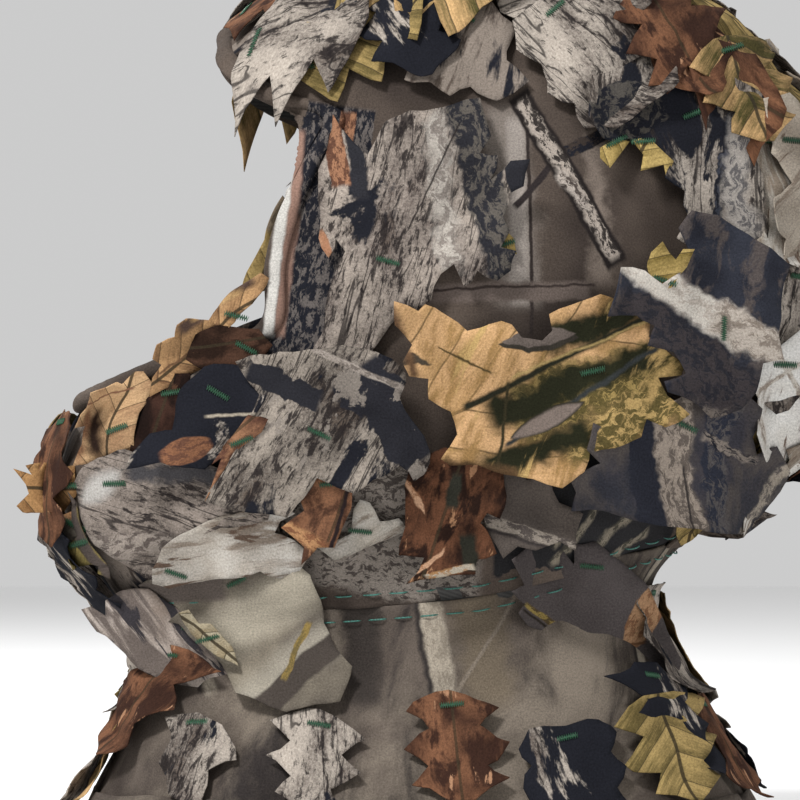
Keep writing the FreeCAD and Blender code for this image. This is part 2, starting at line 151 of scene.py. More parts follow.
class Ink:
    """A socket of a print; arithmetic on it adds Math nodes, and node() adds any other."""

    def __init__(self, tree, socket=None):
        self.tree, self.socket = tree, socket

    def node(self, kind, settings=(), inputs=(), output=0):
        made = self.tree.nodes.new("ShaderNode" + kind)
        for key, value in dict(settings).items():
            if key != "stops":
                setattr(made, key, value)
                continue
            for _ in range(len(value) - 2):
                made.color_ramp.elements.new(0.5)
            for element, (place, colour) in zip(made.color_ramp.elements, value):
                element.position, element.color = place, (*colour, 1)
        for key, value in dict(inputs).items():
            if isinstance(value, Ink):
                self.tree.links.new(value.socket, made.inputs[key])
            else:
                made.inputs[key].default_value = value
        return Ink(self.tree, made.outputs[output])

    def maths(self, operation, *values):
        return self.node("Math", {"operation": operation}, enumerate(values))

    def __add__(self, other): return self.maths("ADD", self, other)
    def __sub__(self, other): return self.maths("SUBTRACT", self, other)
    def __rsub__(self, other): return self.maths("SUBTRACT", other, self)
    def __mul__(self, other): return self.maths("MULTIPLY", self, other)
    def __truediv__(self, other): return self.maths("DIVIDE", self, other)
    __radd__, __rmul__ = __add__, __mul__

    def size(self): return self.maths("ABSOLUTE", self)
    def part(self): return self.maths("FRACT", self)

    def step(self, low, high):
        """0 below low, 1 above high, smooth between; high may be the smaller."""
        return self.node("MapRange", {"interpolation_type": "SMOOTHSTEP"},
                         {0: self, 1: low, 2: high, 3: 0.0, 4: 1.0})

    def over(self, below, above):
        """Colour below, painted over by colour above where self is 1."""
        return self.node("Mix", {"data_type": "RGBA"}, {0: self, 6: below, 7: above}, output=2)


def rgb(colour):
    return (*colour, 1.0)


def vector(x, y, seed=0.0):
    return x.node("CombineXYZ", inputs={0: x, 1: y, 2: seed})


def noise(place, scale, detail=3.0, rough=0.55, twist=0.0):
    return place.node("TexNoise", inputs={"Vector": place, "Scale": scale, "Detail": detail,
                                          "Roughness": rough, "Distortion": twist})


class Print:
    """Coordinates of a print in centimetres on the side plane, and its layers, bottom first."""

    def __init__(self, tree, seed):
        start = Ink(tree)
        place = start.node("UVMap", {"uv_map": "print"})
        self.x = place.node("SeparateXYZ", inputs={0: place}, output=0)
        self.z = place.node("SeparateXYZ", inputs={0: place}, output=1)
        self.seed = seed
        self.colour = None

    def turned(self, angle, x=0.0, z=0.0):
        """Coordinates along and across a direction, in centimetres from the point x, z."""
        c, s = math.cos(math.radians(angle)), math.sin(math.radians(angle))
        dx, dz = self.x - x / 10, self.z - z / 10
        return dx * c + dz * s, dz * c - dx * s

    def wander(self, size, amount, salt=0.0):
        """A soft random value about 0, that changes over size centimetres."""
        return (noise(vector(self.x, self.z, self.seed + salt), 1 / size, 2.0) - 0.5) * (2 * amount)

    def lay(self, mask, colour):
        colour = colour if isinstance(colour, Ink) else rgb(colour)
        self.colour = mask.over(self.colour, colour)

    def plain(self, light, dark, size=2.5):
        mask = noise(vector(self.x, self.z, self.seed), 1 / size, 2.0)
        self.colour = mask.node("ValToRGB", {"stops": [(0.35, dark), (0.68, light)]}, {0: mask})

    def bark(self, angle, light, middle, dark, width=0.25, fleck=0.5):
        """Ridged bark: clouds of light, dense dark flecks drawn out along the grain, and cracks."""
        along, across = self.turned(angle)
        cloud = noise(vector(along / 2.2, across, self.seed + 4), 0.75, 3.0)
        grit = noise(vector(self.x, self.z, self.seed + 8), 11.0, 3.0, 0.7)
        value = cloud * 1.0 + grit * 0.5 - 0.25
        pale = tuple(min(0.85, 1.25 * c) for c in light)
        brown = (middle[0] * 0.62, middle[1] * 0.56, middle[2] * 0.52)
        self.colour = value.node("ValToRGB", {"stops": [(0.26, brown), (0.40, middle), (0.56, light),
                                                        (0.70, pale)]}, {0: value})
        ridges = noise(vector(along / 3.2, across, self.seed), 1 / width, 6.0, 0.72, 0.4)
        shade = ridges + cloud * 0.35
        edge = 0.42 + 0.5 * fleck
        self.lay(shade.step(edge + 0.02, edge - 0.10) * 0.92, dark)
        crack = noise(vector(along / 9, across, self.seed + 6), 1.3, 3.0, 0.5, 0.6)
        self.lay((crack - 0.5).size().step(0.012, 0.004) * 0.8, dark)

    def blots(self, colour, amount, size=2.0, angle=0.0, stretch=1.0, salt=11.0, soft=0.02):
        """Ragged patches of one colour; amount 0 gives none and 1 gives all."""
        along, across = self.turned(angle)
        place = vector(along / stretch, across, self.seed + salt)
        mask = noise(place, 1 / size, 6.0, 0.62, 0.4).step(0.66 - 0.32 * amount - soft,
                                                           0.66 - 0.32 * amount + soft)
        self.lay(mask, colour)

    def band(self, ends, width, colour, speck=None, ragged=0.06, soft=0.03, taper=0.0):
        """A twig or stripe from one point to another, with wavering edges and specks on it.

        taper 1 narrows it to nothing at both ends, as a parabola.
        """
        (x0, z0), (x1, z1) = ends
        half = math.hypot(x1 - x0, z1 - z0) / 20
        along, across = self.turned(math.degrees(math.atan2(z1 - z0, x1 - x0)), x0, z0)
        if ragged:
            across = across + self.wander(0.5, ragged, 21.0) + self.wander(2.6, 1.6 * ragged, 22.0)
        share = (along - half) / half
        edge = (1 - share * share * taper) * (width / 20)
        inside = (across.size() - edge).step(soft, -soft)
        inside = inside * (along - half).size().step(half + 0.06 + soft, half - 0.06 - soft)
        if speck:
            grain = noise(vector(along / 2.2, across, self.seed + 31), 5.5, 6.0, 0.72)
            side = (across + width / 60) * (6 / width)
            mask = (grain + side * 0.10).step(0.49, 0.56)
            colour = mask.over(rgb(colour), rgb(speck))
        self.lay(inside, colour)

    def bands(self, rows):
        """Several bands: each row is x, z, x, z, width, colour, speck, ragged, soft and taper."""
        for x0, z0, x1, z1, *rest in rows:
            self.band([(x0, z0), (x1, z1)], *rest)

    def veins(self, angle, x, z, light, dark, vein, spacing=1.1, slant=0.85, shade=0.5):
        """A leaf seen close: a midrib, slanting side veins, and streaky shade between them."""
        along, across = self.turned(angle, x, z)
        across = across + self.wander(2.5, 0.16, 41.0)
        cell = (along - across.size() * slant) / spacing + self.wander(1.2, 0.10, 42.0)
        fall = cell.part()
        cloud = noise(vector(self.x, self.z, self.seed + 43), 0.6, 3.0)
        streaks = noise(vector(along - across.size() * slant, across * 0.25 + along * 0.1,
                               self.seed + 44), 7.0, 4.0, 0.7)
        value = fall * 0.35 + cloud * 1.1 + streaks * 0.9 - 0.75 + (shade - 0.5) * 0.5
        middle = tuple(0.5 * (a + b) for a, b in zip(light, dark))
        self.colour = value.node("ValToRGB", {"stops": [(0.22, light), (0.45, middle), (0.68, dark)]},
                                 {0: value})
        self.lay((fall - 0.5).size().step(0.465, 0.492) * 0.75, vein)
        self.lay(across.size().step(0.07, 0.035) * 0.9, vein)


FIBRE = 16.0                     # fibres per centimetre in the cloth's nap


def cloth_material(name, seed, layers):
    """Printed matt cloth: the layers' colour, with fine fibre grain in colour and bump."""
    material = bpy.data.materials.new(name)
    material.use_nodes = True
    tree = material.node_tree
    shader = tree.nodes["Principled BSDF"]
    printed = Print(tree, seed)
    layers(printed)
    nap = noise(vector(printed.x, printed.z, seed + 51), FIBRE, 3.0, 0.75)
    fade = noise(vector(printed.x, printed.z, seed + 52), 0.5, 2.0)
    tone = nap * 1.05 + fade * 0.5 - 0.16
    grey = nap.node("CombineColor", inputs={0: tone, 1: tone, 2: tone})
    shaded = nap.node("Mix", {"data_type": "RGBA", "blend_type": "MULTIPLY"},
                      {0: 1.0, 6: printed.colour, 7: grey}, output=2)
    bump = nap.node("Bump", inputs={"Strength": 0.35, "Distance": 0.0004, "Height": nap})
    tree.links.new(shaded.socket, shader.inputs["Base Color"])
    tree.links.new(bump.socket, shader.inputs["Normal"])
    shader.inputs["Roughness"].default_value = 0.95
    shader.inputs["Specular IOR Level"].default_value = 0.06
    return material


BARK_LIGHT, BARK_MIDDLE, BARK_DARK = (0.48, 0.42, 0.36), (0.22, 0.185, 0.16), (0.026, 0.021, 0.021)
NAVY, NAVY_PALE = (0.019, 0.020, 0.027), (0.055, 0.06, 0.08)
TAUPE, TAUPE_DARK = (0.165, 0.128, 0.104), (0.062, 0.048, 0.041)
CREAM, CREAM_WHITE = (0.50, 0.43, 0.34), (0.74, 0.71, 0.66)
BROWN_STREAK = (0.17, 0.115, 0.085)
VEIN = (0.055, 0.042, 0.025)
KHAKI_DARK = (0.20, 0.15, 0.06)
RUST, RUST_LIGHT = (0.15, 0.07, 0.045), (0.42, 0.21, 0.12)

# ---- Head form --------------------------------------------------------------------------
# The form that the base cloth takes on a head: oval level sections below the round crown,
# as in the CAD model. Rows: height, front, back, half-width, in millimetres.
LEVELS = MM * np.array([
    (-138, -104, 118, 104), (-120, -96, 108, 90), (-100, -87, 96, 76), (-84, -81, 88, 66),
    (-70, -86, 80, 62), (-56, -98, 82, 64), (-42, -109, 96, 69), (-24, -112, 118, 75),
    (-8, -106, 132, 79), (8, -98, 138, 82), (24, -92, 140, 83.5), (39, -90, 140, 84)])
CROWN_BASE, CROWN_RISE = 39 * MM, 109 * MM
HEAD_CENTRE = 25 * MM


def section(z):
    """Front radius, back radius and half-width at height z: smooth cubics through LEVELS."""
    z = np.clip(z, LEVELS[0, 0], LEVELS[-1, 0])
    k = np.clip(np.searchsorted(LEVELS[:, 0], z, side="right") - 1, 0, len(LEVELS) - 2)
    gap = (LEVELS[k + 1, 0] - LEVELS[k, 0])[..., None]
    t = (z - LEVELS[k, 0])[..., None] / gap
    heights = LEVELS[:, 0]
    slopes = np.zeros_like(LEVELS[:, 1:])
    slopes[1:-1] = (LEVELS[2:, 1:] - LEVELS[:-2, 1:]) / (heights[2:] - heights[:-2])[:, None]
    slopes[0] = (LEVELS[1, 1:] - LEVELS[0, 1:]) / (heights[1] - heights[0])
    values = ((2 * t**3 - 3 * t**2 + 1) * LEVELS[k, 1:] + (t**3 - 2 * t**2 + t) * gap * slopes[k]
              + (3 * t**2 - 2 * t**3) * LEVELS[k + 1, 1:] + (t**3 - t**2) * gap * slopes[k + 1])
    front, back, wide = np.moveaxis(values, -1, 0)
    return HEAD_CENTRE - front, back - HEAD_CENTRE, wide


def level(p):
    """1 on the head form, less inside it and more outside it."""
    front, back, wide = section(p[..., 2])
    y = p[..., 1] - HEAD_CENTRE
    along = y / np.where(y < 0, front, back)
    rise = np.maximum(0, p[..., 2] - CROWN_BASE) / CROWN_RISE
    return np.sqrt((p[..., 0] / wide) ** 2 + along ** 2 + rise ** 2)


def slope_of_level(p, h=0.0002):
    steps = h * np.eye(3)
    return np.stack([(level(p + s) - level(p - s)) / (2 * h) for s in steps], axis=-1)


def normal(p):
    slope = slope_of_level(p)
    return slope / np.linalg.norm(slope, axis=-1, keepdims=True)


def settle(p):
    """Moves points square to the head form until they lie on it."""
    for _ in range(5):
        slope = slope_of_level(p)
        p = p - slope * ((level(p) - 1) / np.sum(slope ** 2, axis=-1))[..., None]
    return p


def beside(y, z):
    """Points on the wearer's left of the form at (y, z), seen square from the side."""
    y, z = np.broadcast_arrays(np.asarray(y, dtype=float), np.asarray(z, dtype=float))
    front, back, wide = section(z)
    along = (y - HEAD_CENTRE) / np.where(y < HEAD_CENTRE, front, back)
    rise = np.maximum(0, z - CROWN_BASE) / CROWN_RISE
    x = wide * np.sqrt(np.maximum(0, 1 - along ** 2 - rise ** 2))
    return settle(np.stack([x, y, z], axis=-1))


def around(turn, z):
    """Points at height z, turned in degrees from the front (0) over the left side (90)."""
    turn, z = np.broadcast_arrays(np.radians(turn), np.asarray(z, dtype=float))
    front, back, wide = section(z)
    c = np.cos(turn)
    return np.stack([wide * np.sin(turn), HEAD_CENTRE - np.where(c > 0, front, back) * c, z], axis=-1)


def neck_height(turn):
    return MM * (-68 + 24 * ((1 - np.cos(np.radians(turn))) / 2) ** 2)


def ripple(p, size, seed, waves=7):
    """A smooth random field from -1 to 1: sine waves in random directions, about size long."""
    draw = np.random.default_rng(seed)
    ways = draw.normal(size=(waves, 3))
    length = np.linalg.norm(ways, axis=1)[:, None]
    ways *= 2 * math.pi / size * draw.uniform(0.6, 1.5, (waves, 1)) / length
    phases = draw.uniform(0, 2 * math.pi, waves)
    return np.sin(p @ ways.T + phases).sum(axis=-1) / math.sqrt(waves)


def grid_faces(rows, columns, closed=False):
    """Quads of a grid of rows by columns of points; closed joins the last column to the first."""
    i, j = np.meshgrid(np.arange(rows - 1), np.arange(columns if closed else columns - 1), indexing="ij")
    k = (j + 1) % columns
    quads = [i * columns + j, i * columns + k, (i + 1) * columns + k, (i + 1) * columns + j]
    return np.stack(quads, -1).reshape(-1, 4)


def set_print(piece, uv):
    """Gives a piece its print coordinates, one pair in centimetres for each point."""
    layer = piece.data.uv_layers.new(name="print")
    corner = np.empty(len(piece.data.loops), dtype=np.int32)
    piece.data.loops.foreach_get("vertex_index", corner)
    layer.data.foreach_set("uv", np.asarray(uv, dtype=np.float32)[corner].ravel())


def thicken(piece, thickness, offset=-1.0):
    solid = piece.modifiers.new("cloth_thickness", "SOLIDIFY")
    solid.thickness, solid.offset = thickness, offset


def face_out(piece, points, faces, way):
    """Turns the faces over if they look against the given outward way."""
    a, b, c = (points[faces[:, k]] for k in range(3))
    turns = np.sum(np.cross(b - a, c - a) * way[faces[:, 0]], axis=-1)
    if np.sum(turns) < 0:
        piece.data.flip_normals()


# ---- Base cloth -------------------------------------------------------------------------
# Seven panels of printed cloth sewn edge to edge: two hood sides, a crown gusset, two cheeks
# and two halves of the neck drape. The cloth lies on the head with soft wrinkles.
BROW_CORNER, TEMPLE_CORNER, JAW_CORNER = MM * np.array([(-24, 86), (-43, 26), (-34, -67)])
GUSSET_HALF = 32 * MM
CLOTH = 1.0 * MM


def smooth_line(points):
    """A function of t from 0 to 1 through the points: cubics with slopes from neighbours."""
    points = np.array(points)
    places = np.concatenate([[0], np.cumsum(np.linalg.norm(np.diff(points, axis=0), axis=1))])
    places /= places[-1]
    slopes = np.gradient(points, places, axis=0)

    def line(t):
        t = np.clip(np.asarray(t, dtype=float), 0, 1)
        k = np.clip(np.searchsorted(places, t, side="right") - 1, 0, len(points) - 2)
        gap = (places[k + 1] - places[k])[..., None]
        s = (t - places[k])[..., None] / gap
        return ((2 * s**3 - 3 * s**2 + 1) * points[k] + (s**3 - 2 * s**2 + s) * gap * slopes[k]
                + (3 * s**2 - 2 * s**3) * points[k + 1] + (s**3 - s**2) * gap * slopes[k + 1])
    return line


def over_crown(x, tilt):
    """The point at x, where tilt 0 points to the back and 90 straight up, by halving steps."""
    tilt = np.radians(tilt)
    near, far = np.zeros_like(tilt), np.full_like(tilt, 0.3)
    for _ in range(36):
        middle = (near + far) / 2
        p = np.stack([np.broadcast_to(x, tilt.shape), HEAD_CENTRE + middle * np.cos(tilt),
                      middle * np.sin(tilt)], axis=-1)
        inside = level(p) < 1
        near, far = np.where(inside, middle, near), np.where(inside, far, middle)
    return p


temple_edge = smooth_line([beside(*BROW_CORNER), beside(-0.038, 0.058), beside(*TEMPLE_CORNER)])
cheek_seam = smooth_line([beside(*TEMPLE_CORNER), beside(-0.044, -0.010), beside(-0.038, -0.042),
                          beside(*JAW_CORNER)])
jaw_turns = np.linspace(20, 100, 801)
JAW_TURN = jaw_turns[np.argmin(np.linalg.norm(around(jaw_turns, neck_height(jaw_turns))
                                              - beside(*JAW_CORNER), axis=1))]
nape_seam = around(154, neck_height(154))


def front_edge(t):
    t = np.asarray(t, dtype=float)
    return np.where((t < 0.5)[..., None], temple_edge(2 * t), cheek_seam(2 * t - 1))


def gusset_edge(t):
    t = np.asarray(t, dtype=float)
    over = over_crown(GUSSET_HALF - 0.003 * t, 128 - 153 * t)
    share = (t ** 6)[..., None]
    return settle(over * (1 - share) + nape_seam * share)


def neck_edge(from_turn, to_turn):
    turns = np.linspace(from_turn, to_turn, 9)
    return smooth_line(around(turns, neck_height(turns)))


brow_middle = settle((beside(*BROW_CORNER) + gusset_edge(0.0)) / 2 + [0, -0.006, 0.001])
brow_edge = smooth_line([beside(*BROW_CORNER), brow_middle, gusset_edge(0.0)])
bridge_edge = smooth_line([around(0, 0.002), around(20, 0.007), around(40, 0.017),
                           beside(*TEMPLE_CORNER)])
chin_line = smooth_line([around(0, z * MM) for z in (2, -16, -34, -50, -68)])


def coons(low, high, start, end, rows, columns):
    """A four-sided patch: the mean of its two ruled surfaces less the corners' plane."""
    s = np.linspace(0, 1, columns)[None, :, None]
    t = np.linspace(0, 1, rows)[:, None, None]
    along, up = s[0, :, 0], t[:, 0, 0]
    ruled_t = low(along)[None] * (1 - t) + high(along)[None] * t
    ruled_s = start(up)[:, None] * (1 - s) + end(up)[:, None] * s
    corners = (low(0.0) * (1 - s) + low(1.0) * s) * (1 - t) + (high(0.0) * (1 - s) + high(1.0) * s) * t
    return settle(ruled_t + ruled_s - corners)


def flipped(p):
    return p * np.array([-1, 1, 1])


def wrinkled(p, seed, height=1.6 * MM):
    """Cloth points: long soft folds and small crumples in and out of the head form."""
    fold = 0.62 * ripple(p * [1, 1.5, 0.8], 0.055, seed) + 0.3 * ripple(p, 0.022, seed + 1)
    return p + normal(p) * (height * fold - 0.4 * MM)[..., None]


def base_piece(name, node, grid, uv, material, seed):
    """Makes a base panel from a grid on the head form, and stands it in for its CAD node."""
    rows, columns = grid.shape[:2]
    on_form = grid.reshape(-1, 3)
    points = wrinkled(on_form, seed)
    faces = grid_faces(rows, columns)
    piece = new_mesh(name, points, faces)
    face_out(piece, points, faces, normal(on_form))
    set_print(piece, uv.reshape(-1, 2))
    thicken(piece, CLOTH)
    piece.data.materials.append(material)
    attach(piece, "root")
    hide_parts(node)
    return piece


def base_print(p):
    """Taupe ground with a speckled branch, fold stripes at the temple and dark neck streaks."""
    p.plain(TAUPE, TAUPE_DARK, 4.0)
    p.bands([(34, 92, 36, 30, 15, (0.27, 0.23, 0.2), None, 0.3, 0.35),
             (37, 88, 37, 30, 6, (0.42, 0.37, 0.33), None, 0.06, 0.15),
             (66, 84, 64, 36, 7, (0.26, 0.21, 0.175), None, 0.4, 0.3),
             (41, 88, 41, 20, 1.2, (0.045, 0.035, 0.032)),
             (5, 33, 60, 34, 6, (0.19, 0.15, 0.13), None, 0.1, 0.1),
             (8, 34, 62, 36, 0.8, (0.06, 0.045, 0.04), None, 0.1),
             (50, 76, 70, 84, 4, NAVY, TAUPE_DARK),
             (36, 60, 52, 78, 2.2, (0.04, 0.032, 0.032)),
             (38, 96, 70, 42, 8, (0.026, 0.021, 0.02), None, 0.08, 0.06),
             (40, 94, 69, 44, 4.4, (0.5, 0.43, 0.37), (0.05, 0.042, 0.038), 0.2, 0.08),
             (50, 73, 60, 58, 4.6, (0.56, 0.49, 0.43), (0.1, 0.08, 0.07), 0.3, 0.12, 1),
             (-52, -36, 26, -42, 44, (0.3, 0.26, 0.225), (0.085, 0.07, 0.062), 0.3, 0.2),
             (-18, 92, -32, 10, 22, NAVY, (0.16, 0.14, 0.13), 0.15),
             (-16, 90, -21, 58, 5, RUST, RUST_LIGHT),
             (-31, 84, -38, 20, 3.2, (0.36, 0.22, 0.17), None, 0.06, 0.08),
             (-34, 84, -41.5, 20, 3.4, CREAM_WHITE, None, 0.06, 0.06),
             (30, -33, 112, -33, 46, (0.035, 0.034, 0.036), None, 0.5)])
    for start, end in (((52, -52), (70, -33)), ((60, -52), (86, -36)), ((66, -56), (96, -42)),
                       ((52, -46), (60, -34)), ((72, -58), (84, -50))):
        p.band([start, end], 2.6, (0.30, 0.26, 0.20), speck=(0.10, 0.09, 0.07), ragged=0.18, soft=0.08)


def drape_print(p):
    """Taupe ground with a pale upright branch, dark streaks beside it and a thin gold twig."""
    p.plain((0.17, 0.138, 0.115), (0.085, 0.068, 0.058), 3.0)
    p.blots((0.27, 0.225, 0.18), 0.34, 4.0, 40, 1.5, soft=0.12)
    p.blots((0.045, 0.038, 0.036), 0.26, 3.0, 80, 2.5, salt=15.0, soft=0.08)
    p.bands([(-16, -56, -12, -96, 12, (0.06, 0.05, 0.044), None, 0.4, 0.3),
             (22, -60, 30, -96, 14, (0.215, 0.172, 0.125), None, 0.4, 0.4)])
    for x, lean, width in ((4, 10, 8), (-88, 22, 5), (108, -20, 6)):
        p.band([(x, -34), (x + lean, -92)], width, (0.46, 0.4, 0.32), speck=(0.34, 0.29, 0.23),
               ragged=0.12, soft=0.1)
        p.band([(x - 4, -36), (x + lean - 4, -92)], 1.8, (0.045, 0.038, 0.036), ragged=0.12, soft=0.08)
    p.band([(38, -60), (16, -94)], 1.0, (0.30, 0.25, 0.20), ragged=0.05, soft=0.06)


def wild_print(p):
    """Print for the panels that leaves mostly cover: taupe with twigs, bark and dark gaps."""
    p.plain(TAUPE, TAUPE_DARK, 3.0)
    p.blots((0.30, 0.25, 0.21), 0.45, 2.5, 75, 3.0)
    p.blots(NAVY, 0.35, 1.8, 80, 3.5, salt=17.0)
    p.band([(-60, 40), (80, 70)], 6, (0.035, 0.028, 0.027), speck=(0.50, 0.43, 0.37), ragged=0.2)


cloth_side = cloth_material("base_cloth_side", 3.0, base_print)
cloth_drape = cloth_material("base_cloth_drape", 5.0, drape_print)
cloth_wild = cloth_material("base_cloth_crown", 7.0, wild_print)
base = {}
hood_grid = coons(front_edge, gusset_edge, brow_edge, neck_edge(JAW_TURN, 154), 110, 120)
cheek_grid = coons(chin_line, cheek_seam, bridge_edge, neck_edge(0, JAW_TURN), 60, 70)
crown_start = smooth_line([gusset_edge(0.0), over_crown(0.0, np.array(126.0)),
                           flipped(gusset_edge(0.0))])
crown_end = smooth_line([gusset_edge(1.0), around(180, neck_height(180)), flipped(gusset_edge(1.0))])
crown_grid = coons(gusset_edge, lambda t: flipped(gusset_edge(t)), crown_start, crown_end, 40, 150)
drape_turns, drape_share = np.meshgrid(np.linspace(0, 180, 140), np.linspace(0, 1, 50))
drape_heights = LEVELS[0, 0] * (1 - drape_share) + neck_height(drape_turns) * drape_share
drape_grid = around(drape_turns, drape_heights)


def girth(grid, turns):
    """Length along each row of a grid, equal to y where the row passes the wearer's side."""
    steps = np.linalg.norm(np.diff(grid, axis=1), axis=2)
    length = np.pad(np.cumsum(steps, axis=1), ((0, 0), (1, 0)))
    middle = np.argmin(np.abs(turns[0] - 90))
    return length - length[:, [middle]] + grid[:, [middle], 1]


drape_girth = girth(drape_grid, drape_turns)
hood_back = np.clip((hood_grid[..., 1] - HEAD_CENTRE) / 0.1, 0, 1)
hood_turn = np.maximum(0, 84 * MM - hood_grid[..., 0]) * hood_back
hood_print = np.stack([hood_grid[..., 1] + 0.8 * hood_turn, hood_grid[..., 2]], -1) * 100
crown_steps = np.linalg.norm(np.diff(crown_grid[20], axis=0), axis=1)
crown_length = np.concatenate([[0], np.cumsum(crown_steps)])
crown_print = np.stack([crown_grid[..., 0], np.broadcast_to(crown_length, crown_grid.shape[:2])],
                       -1) * 100
for side, mirror in (("left", 1), ("right", -1)):
    hood, cheek, drape = (grid * [mirror, 1, 1] for grid in (hood_grid, cheek_grid, drape_grid))
    base[side + "_hood"] = base_piece(side + "_hood_cloth", side + "_hood_panel", hood,
                                      hood_print, cloth_side, 11 if mirror > 0 else 12)
    base[side + "_cheek"] = base_piece(side + "_cheek_cloth", side + "_cheek_panel", cheek,
                                       np.stack([cheek[..., 0] * 100, cheek[..., 2] * 100], -1),
                                       cloth_wild, 13 if mirror > 0 else 14)
    base[side + "_drape"] = base_piece(side + "_drape_cloth", side + "_drape_panel", drape,
                                       np.stack([drape_girth * 100, drape[..., 2] * 100], -1),
                                       cloth_drape, 15 if mirror > 0 else 16)
base["crown"] = base_piece("crown_cloth", "crown_panel", crown_grid, crown_print,
                           cloth_wild, 17)

# ---- Edge of the eye opening ------------------------------------------------------------
# The base cloth is rolled over an elastic and sewn down: a soft round bead along the opening.
ROLL_HALF_WIDTH = 3.6 * MM
ROLL_HEIGHT = 2.6 * MM
opening_line = smooth_line([around(0, 0.002), around(20, 0.007), around(40, 0.017),
                            beside(*TEMPLE_CORNER), beside(-0.042, 0.042), beside(-0.038, 0.058),
                            beside(-0.029, 0.076), beside(*BROW_CORNER), brow_edge(0.5),
                            gusset_edge(0.0), over_crown(0.0, np.array(126.0))])


def rolled_edge():
    """A half-round bead carried along the opening; it pulls in a little at each stitch."""
    steps, around_bead = 260, 20
    path = opening_line(np.linspace(0.002, 0.998, steps))
    path = np.concatenate([path, flipped(path)[::-1]])
    up = normal(path)
    middle = np.array([0, -0.09, 0.047])
    out = path - middle
    out -= up * np.sum(out * up, axis=1, keepdims=True)
    out /= np.linalg.norm(out, axis=1, keepdims=True)
    turn = np.linspace(0, 2 * math.pi, around_bead, endpoint=False)[None, :, None]
    pull = 1 + 0.05 * np.sin(np.arange(len(path)) * 0.7)[:, None, None]
    centre = (path + out * ROLL_HALF_WIDTH + up * 0.3 * MM)[:, None]
    points = (centre + out[:, None] * np.cos(turn) * ROLL_HALF_WIDTH
              + up[:, None] * np.sin(turn) * ROLL_HEIGHT * pull)
    points += (0.5 * MM * ripple(points, 0.03, 31))[..., None] * up[:, None]
    count = len(path)
    faces = grid_faces(count + 1, around_bead, closed=True) % (count * around_bead)
    piece = new_mesh("eye_opening_roll", points.reshape(-1, 3), faces)
    way = (points - centre).reshape(-1, 3)
    face_out(piece, points.reshape(-1, 3), faces, way)
    set_print(piece, points.reshape(-1, 3)[:, 1:] * 100)
    piece.data.materials.append(cloth_side)
    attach(piece, "root")
    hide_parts("eye_opening_binding")
    return piece


eye_roll = rolled_edge()

# ---- Hem of the drape -------------------------------------------------------------------
# The drape's lower edge is turned up and stitched: a second layer of the same cloth outside.
hem_turns, hem_share = np.meshgrid(np.linspace(0.5, 359.5, 260), np.linspace(0, 1, 7))
hem_grid = around(hem_turns, LEVELS[0, 0] + hem_share * 12 * MM).reshape(-1, 3)
hem_points = wrinkled(hem_grid, 15) + normal(hem_grid) * 0.9 * MM
hem_faces = grid_faces(7, 260)
hem = new_mesh("drape_hem_cloth", hem_points, hem_faces)
face_out(hem, hem_points, hem_faces, normal(hem_grid))
set_print(hem, np.stack([hem_grid[:, 1] * 100, hem_grid[:, 2] * 100], -1))
thicken(hem, 0.6 * MM, 1.0)
hem.data.materials.append(cloth_drape)
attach(hem, "root")
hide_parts("drape_hem")

# ---- Neck casing stitches ---------------------------------------------------------------
# Two rows of long twin-needle stitches in dark green polyester thread hold the neck elastic.
STITCH_PITCH, STITCH_LENGTH, THREAD = 8.4 * MM, 6.2 * MM, 0.26 * MM


def yarn_material(name, colour, pattern, dark, stops, relief, roughness):
    """Thread or narrow goods: a fine pattern darkens the colour and stands up as a bump."""
    material = bpy.data.materials.new(name)
    material.use_nodes = True
    tree = material.node_tree
    shader = tree.nodes["Principled BSDF"]
    tone = pattern(Ink(tree).node("TexCoord", output=3))
    shade = tuple(dark * c for c in colour)
    cloth = tone.node("ValToRGB", {"stops": [(stops[0], shade), (stops[1], colour)]}, {0: tone})
    bump = tone.node("Bump", inputs={"Strength": relief[0], "Distance": relief[1], "Height": tone})
    tree.links.new(cloth.socket, shader.inputs["Base Color"])
    tree.links.new(bump.socket, shader.inputs["Normal"])
    shader.inputs["Roughness"].default_value = roughness
    return material


def thread_material(name, colour):
    """Glossy twisted thread, with a fine grain of noise for its plies."""
    return yarn_material(name, colour, lambda place: noise(place, 2400.0, 2.0), 0.4, (0.38, 0.58),
                         (0.6, 0.0002), 0.5)


def thread_tubes(name, paths, radius, material, sides=6):
    """One mesh of thread tubes: each path is an array of points, with its outward way."""
    points, faces, caps, count = [], [], [], 0
    ring_order = np.arange(sides)
    turn = np.linspace(0, 2 * math.pi, sides, endpoint=False)[None, :, None]
    for path, up in paths:
        ahead = np.gradient(path, axis=0)
        across = np.cross(ahead, up)
        across /= np.linalg.norm(across, axis=1, keepdims=True)
        lift = np.cross(across, ahead)
        lift /= np.linalg.norm(lift, axis=1, keepdims=True)
        size = radius * np.sqrt(np.clip(1 - np.linspace(-1, 1, len(path)) ** 8, 0.05, 1))[:, None, None]
        ring = path[:, None] + size * (np.cos(turn) * across[:, None] + np.sin(turn) * lift[:, None])
        last = (len(path) - 1) * sides + ring_order[::-1]
        points.append(ring.reshape(-1, 3))
        faces.append(grid_faces(len(path), sides, closed=True)[:, ::-1] + count)
        caps.append(np.stack([ring_order, last]) + count)
        count += ring.shape[0] * sides
    piece = new_mesh(name, np.concatenate(points), np.concatenate(faces), np.concatenate(caps))
    piece.data.materials.append(material)
    return piece


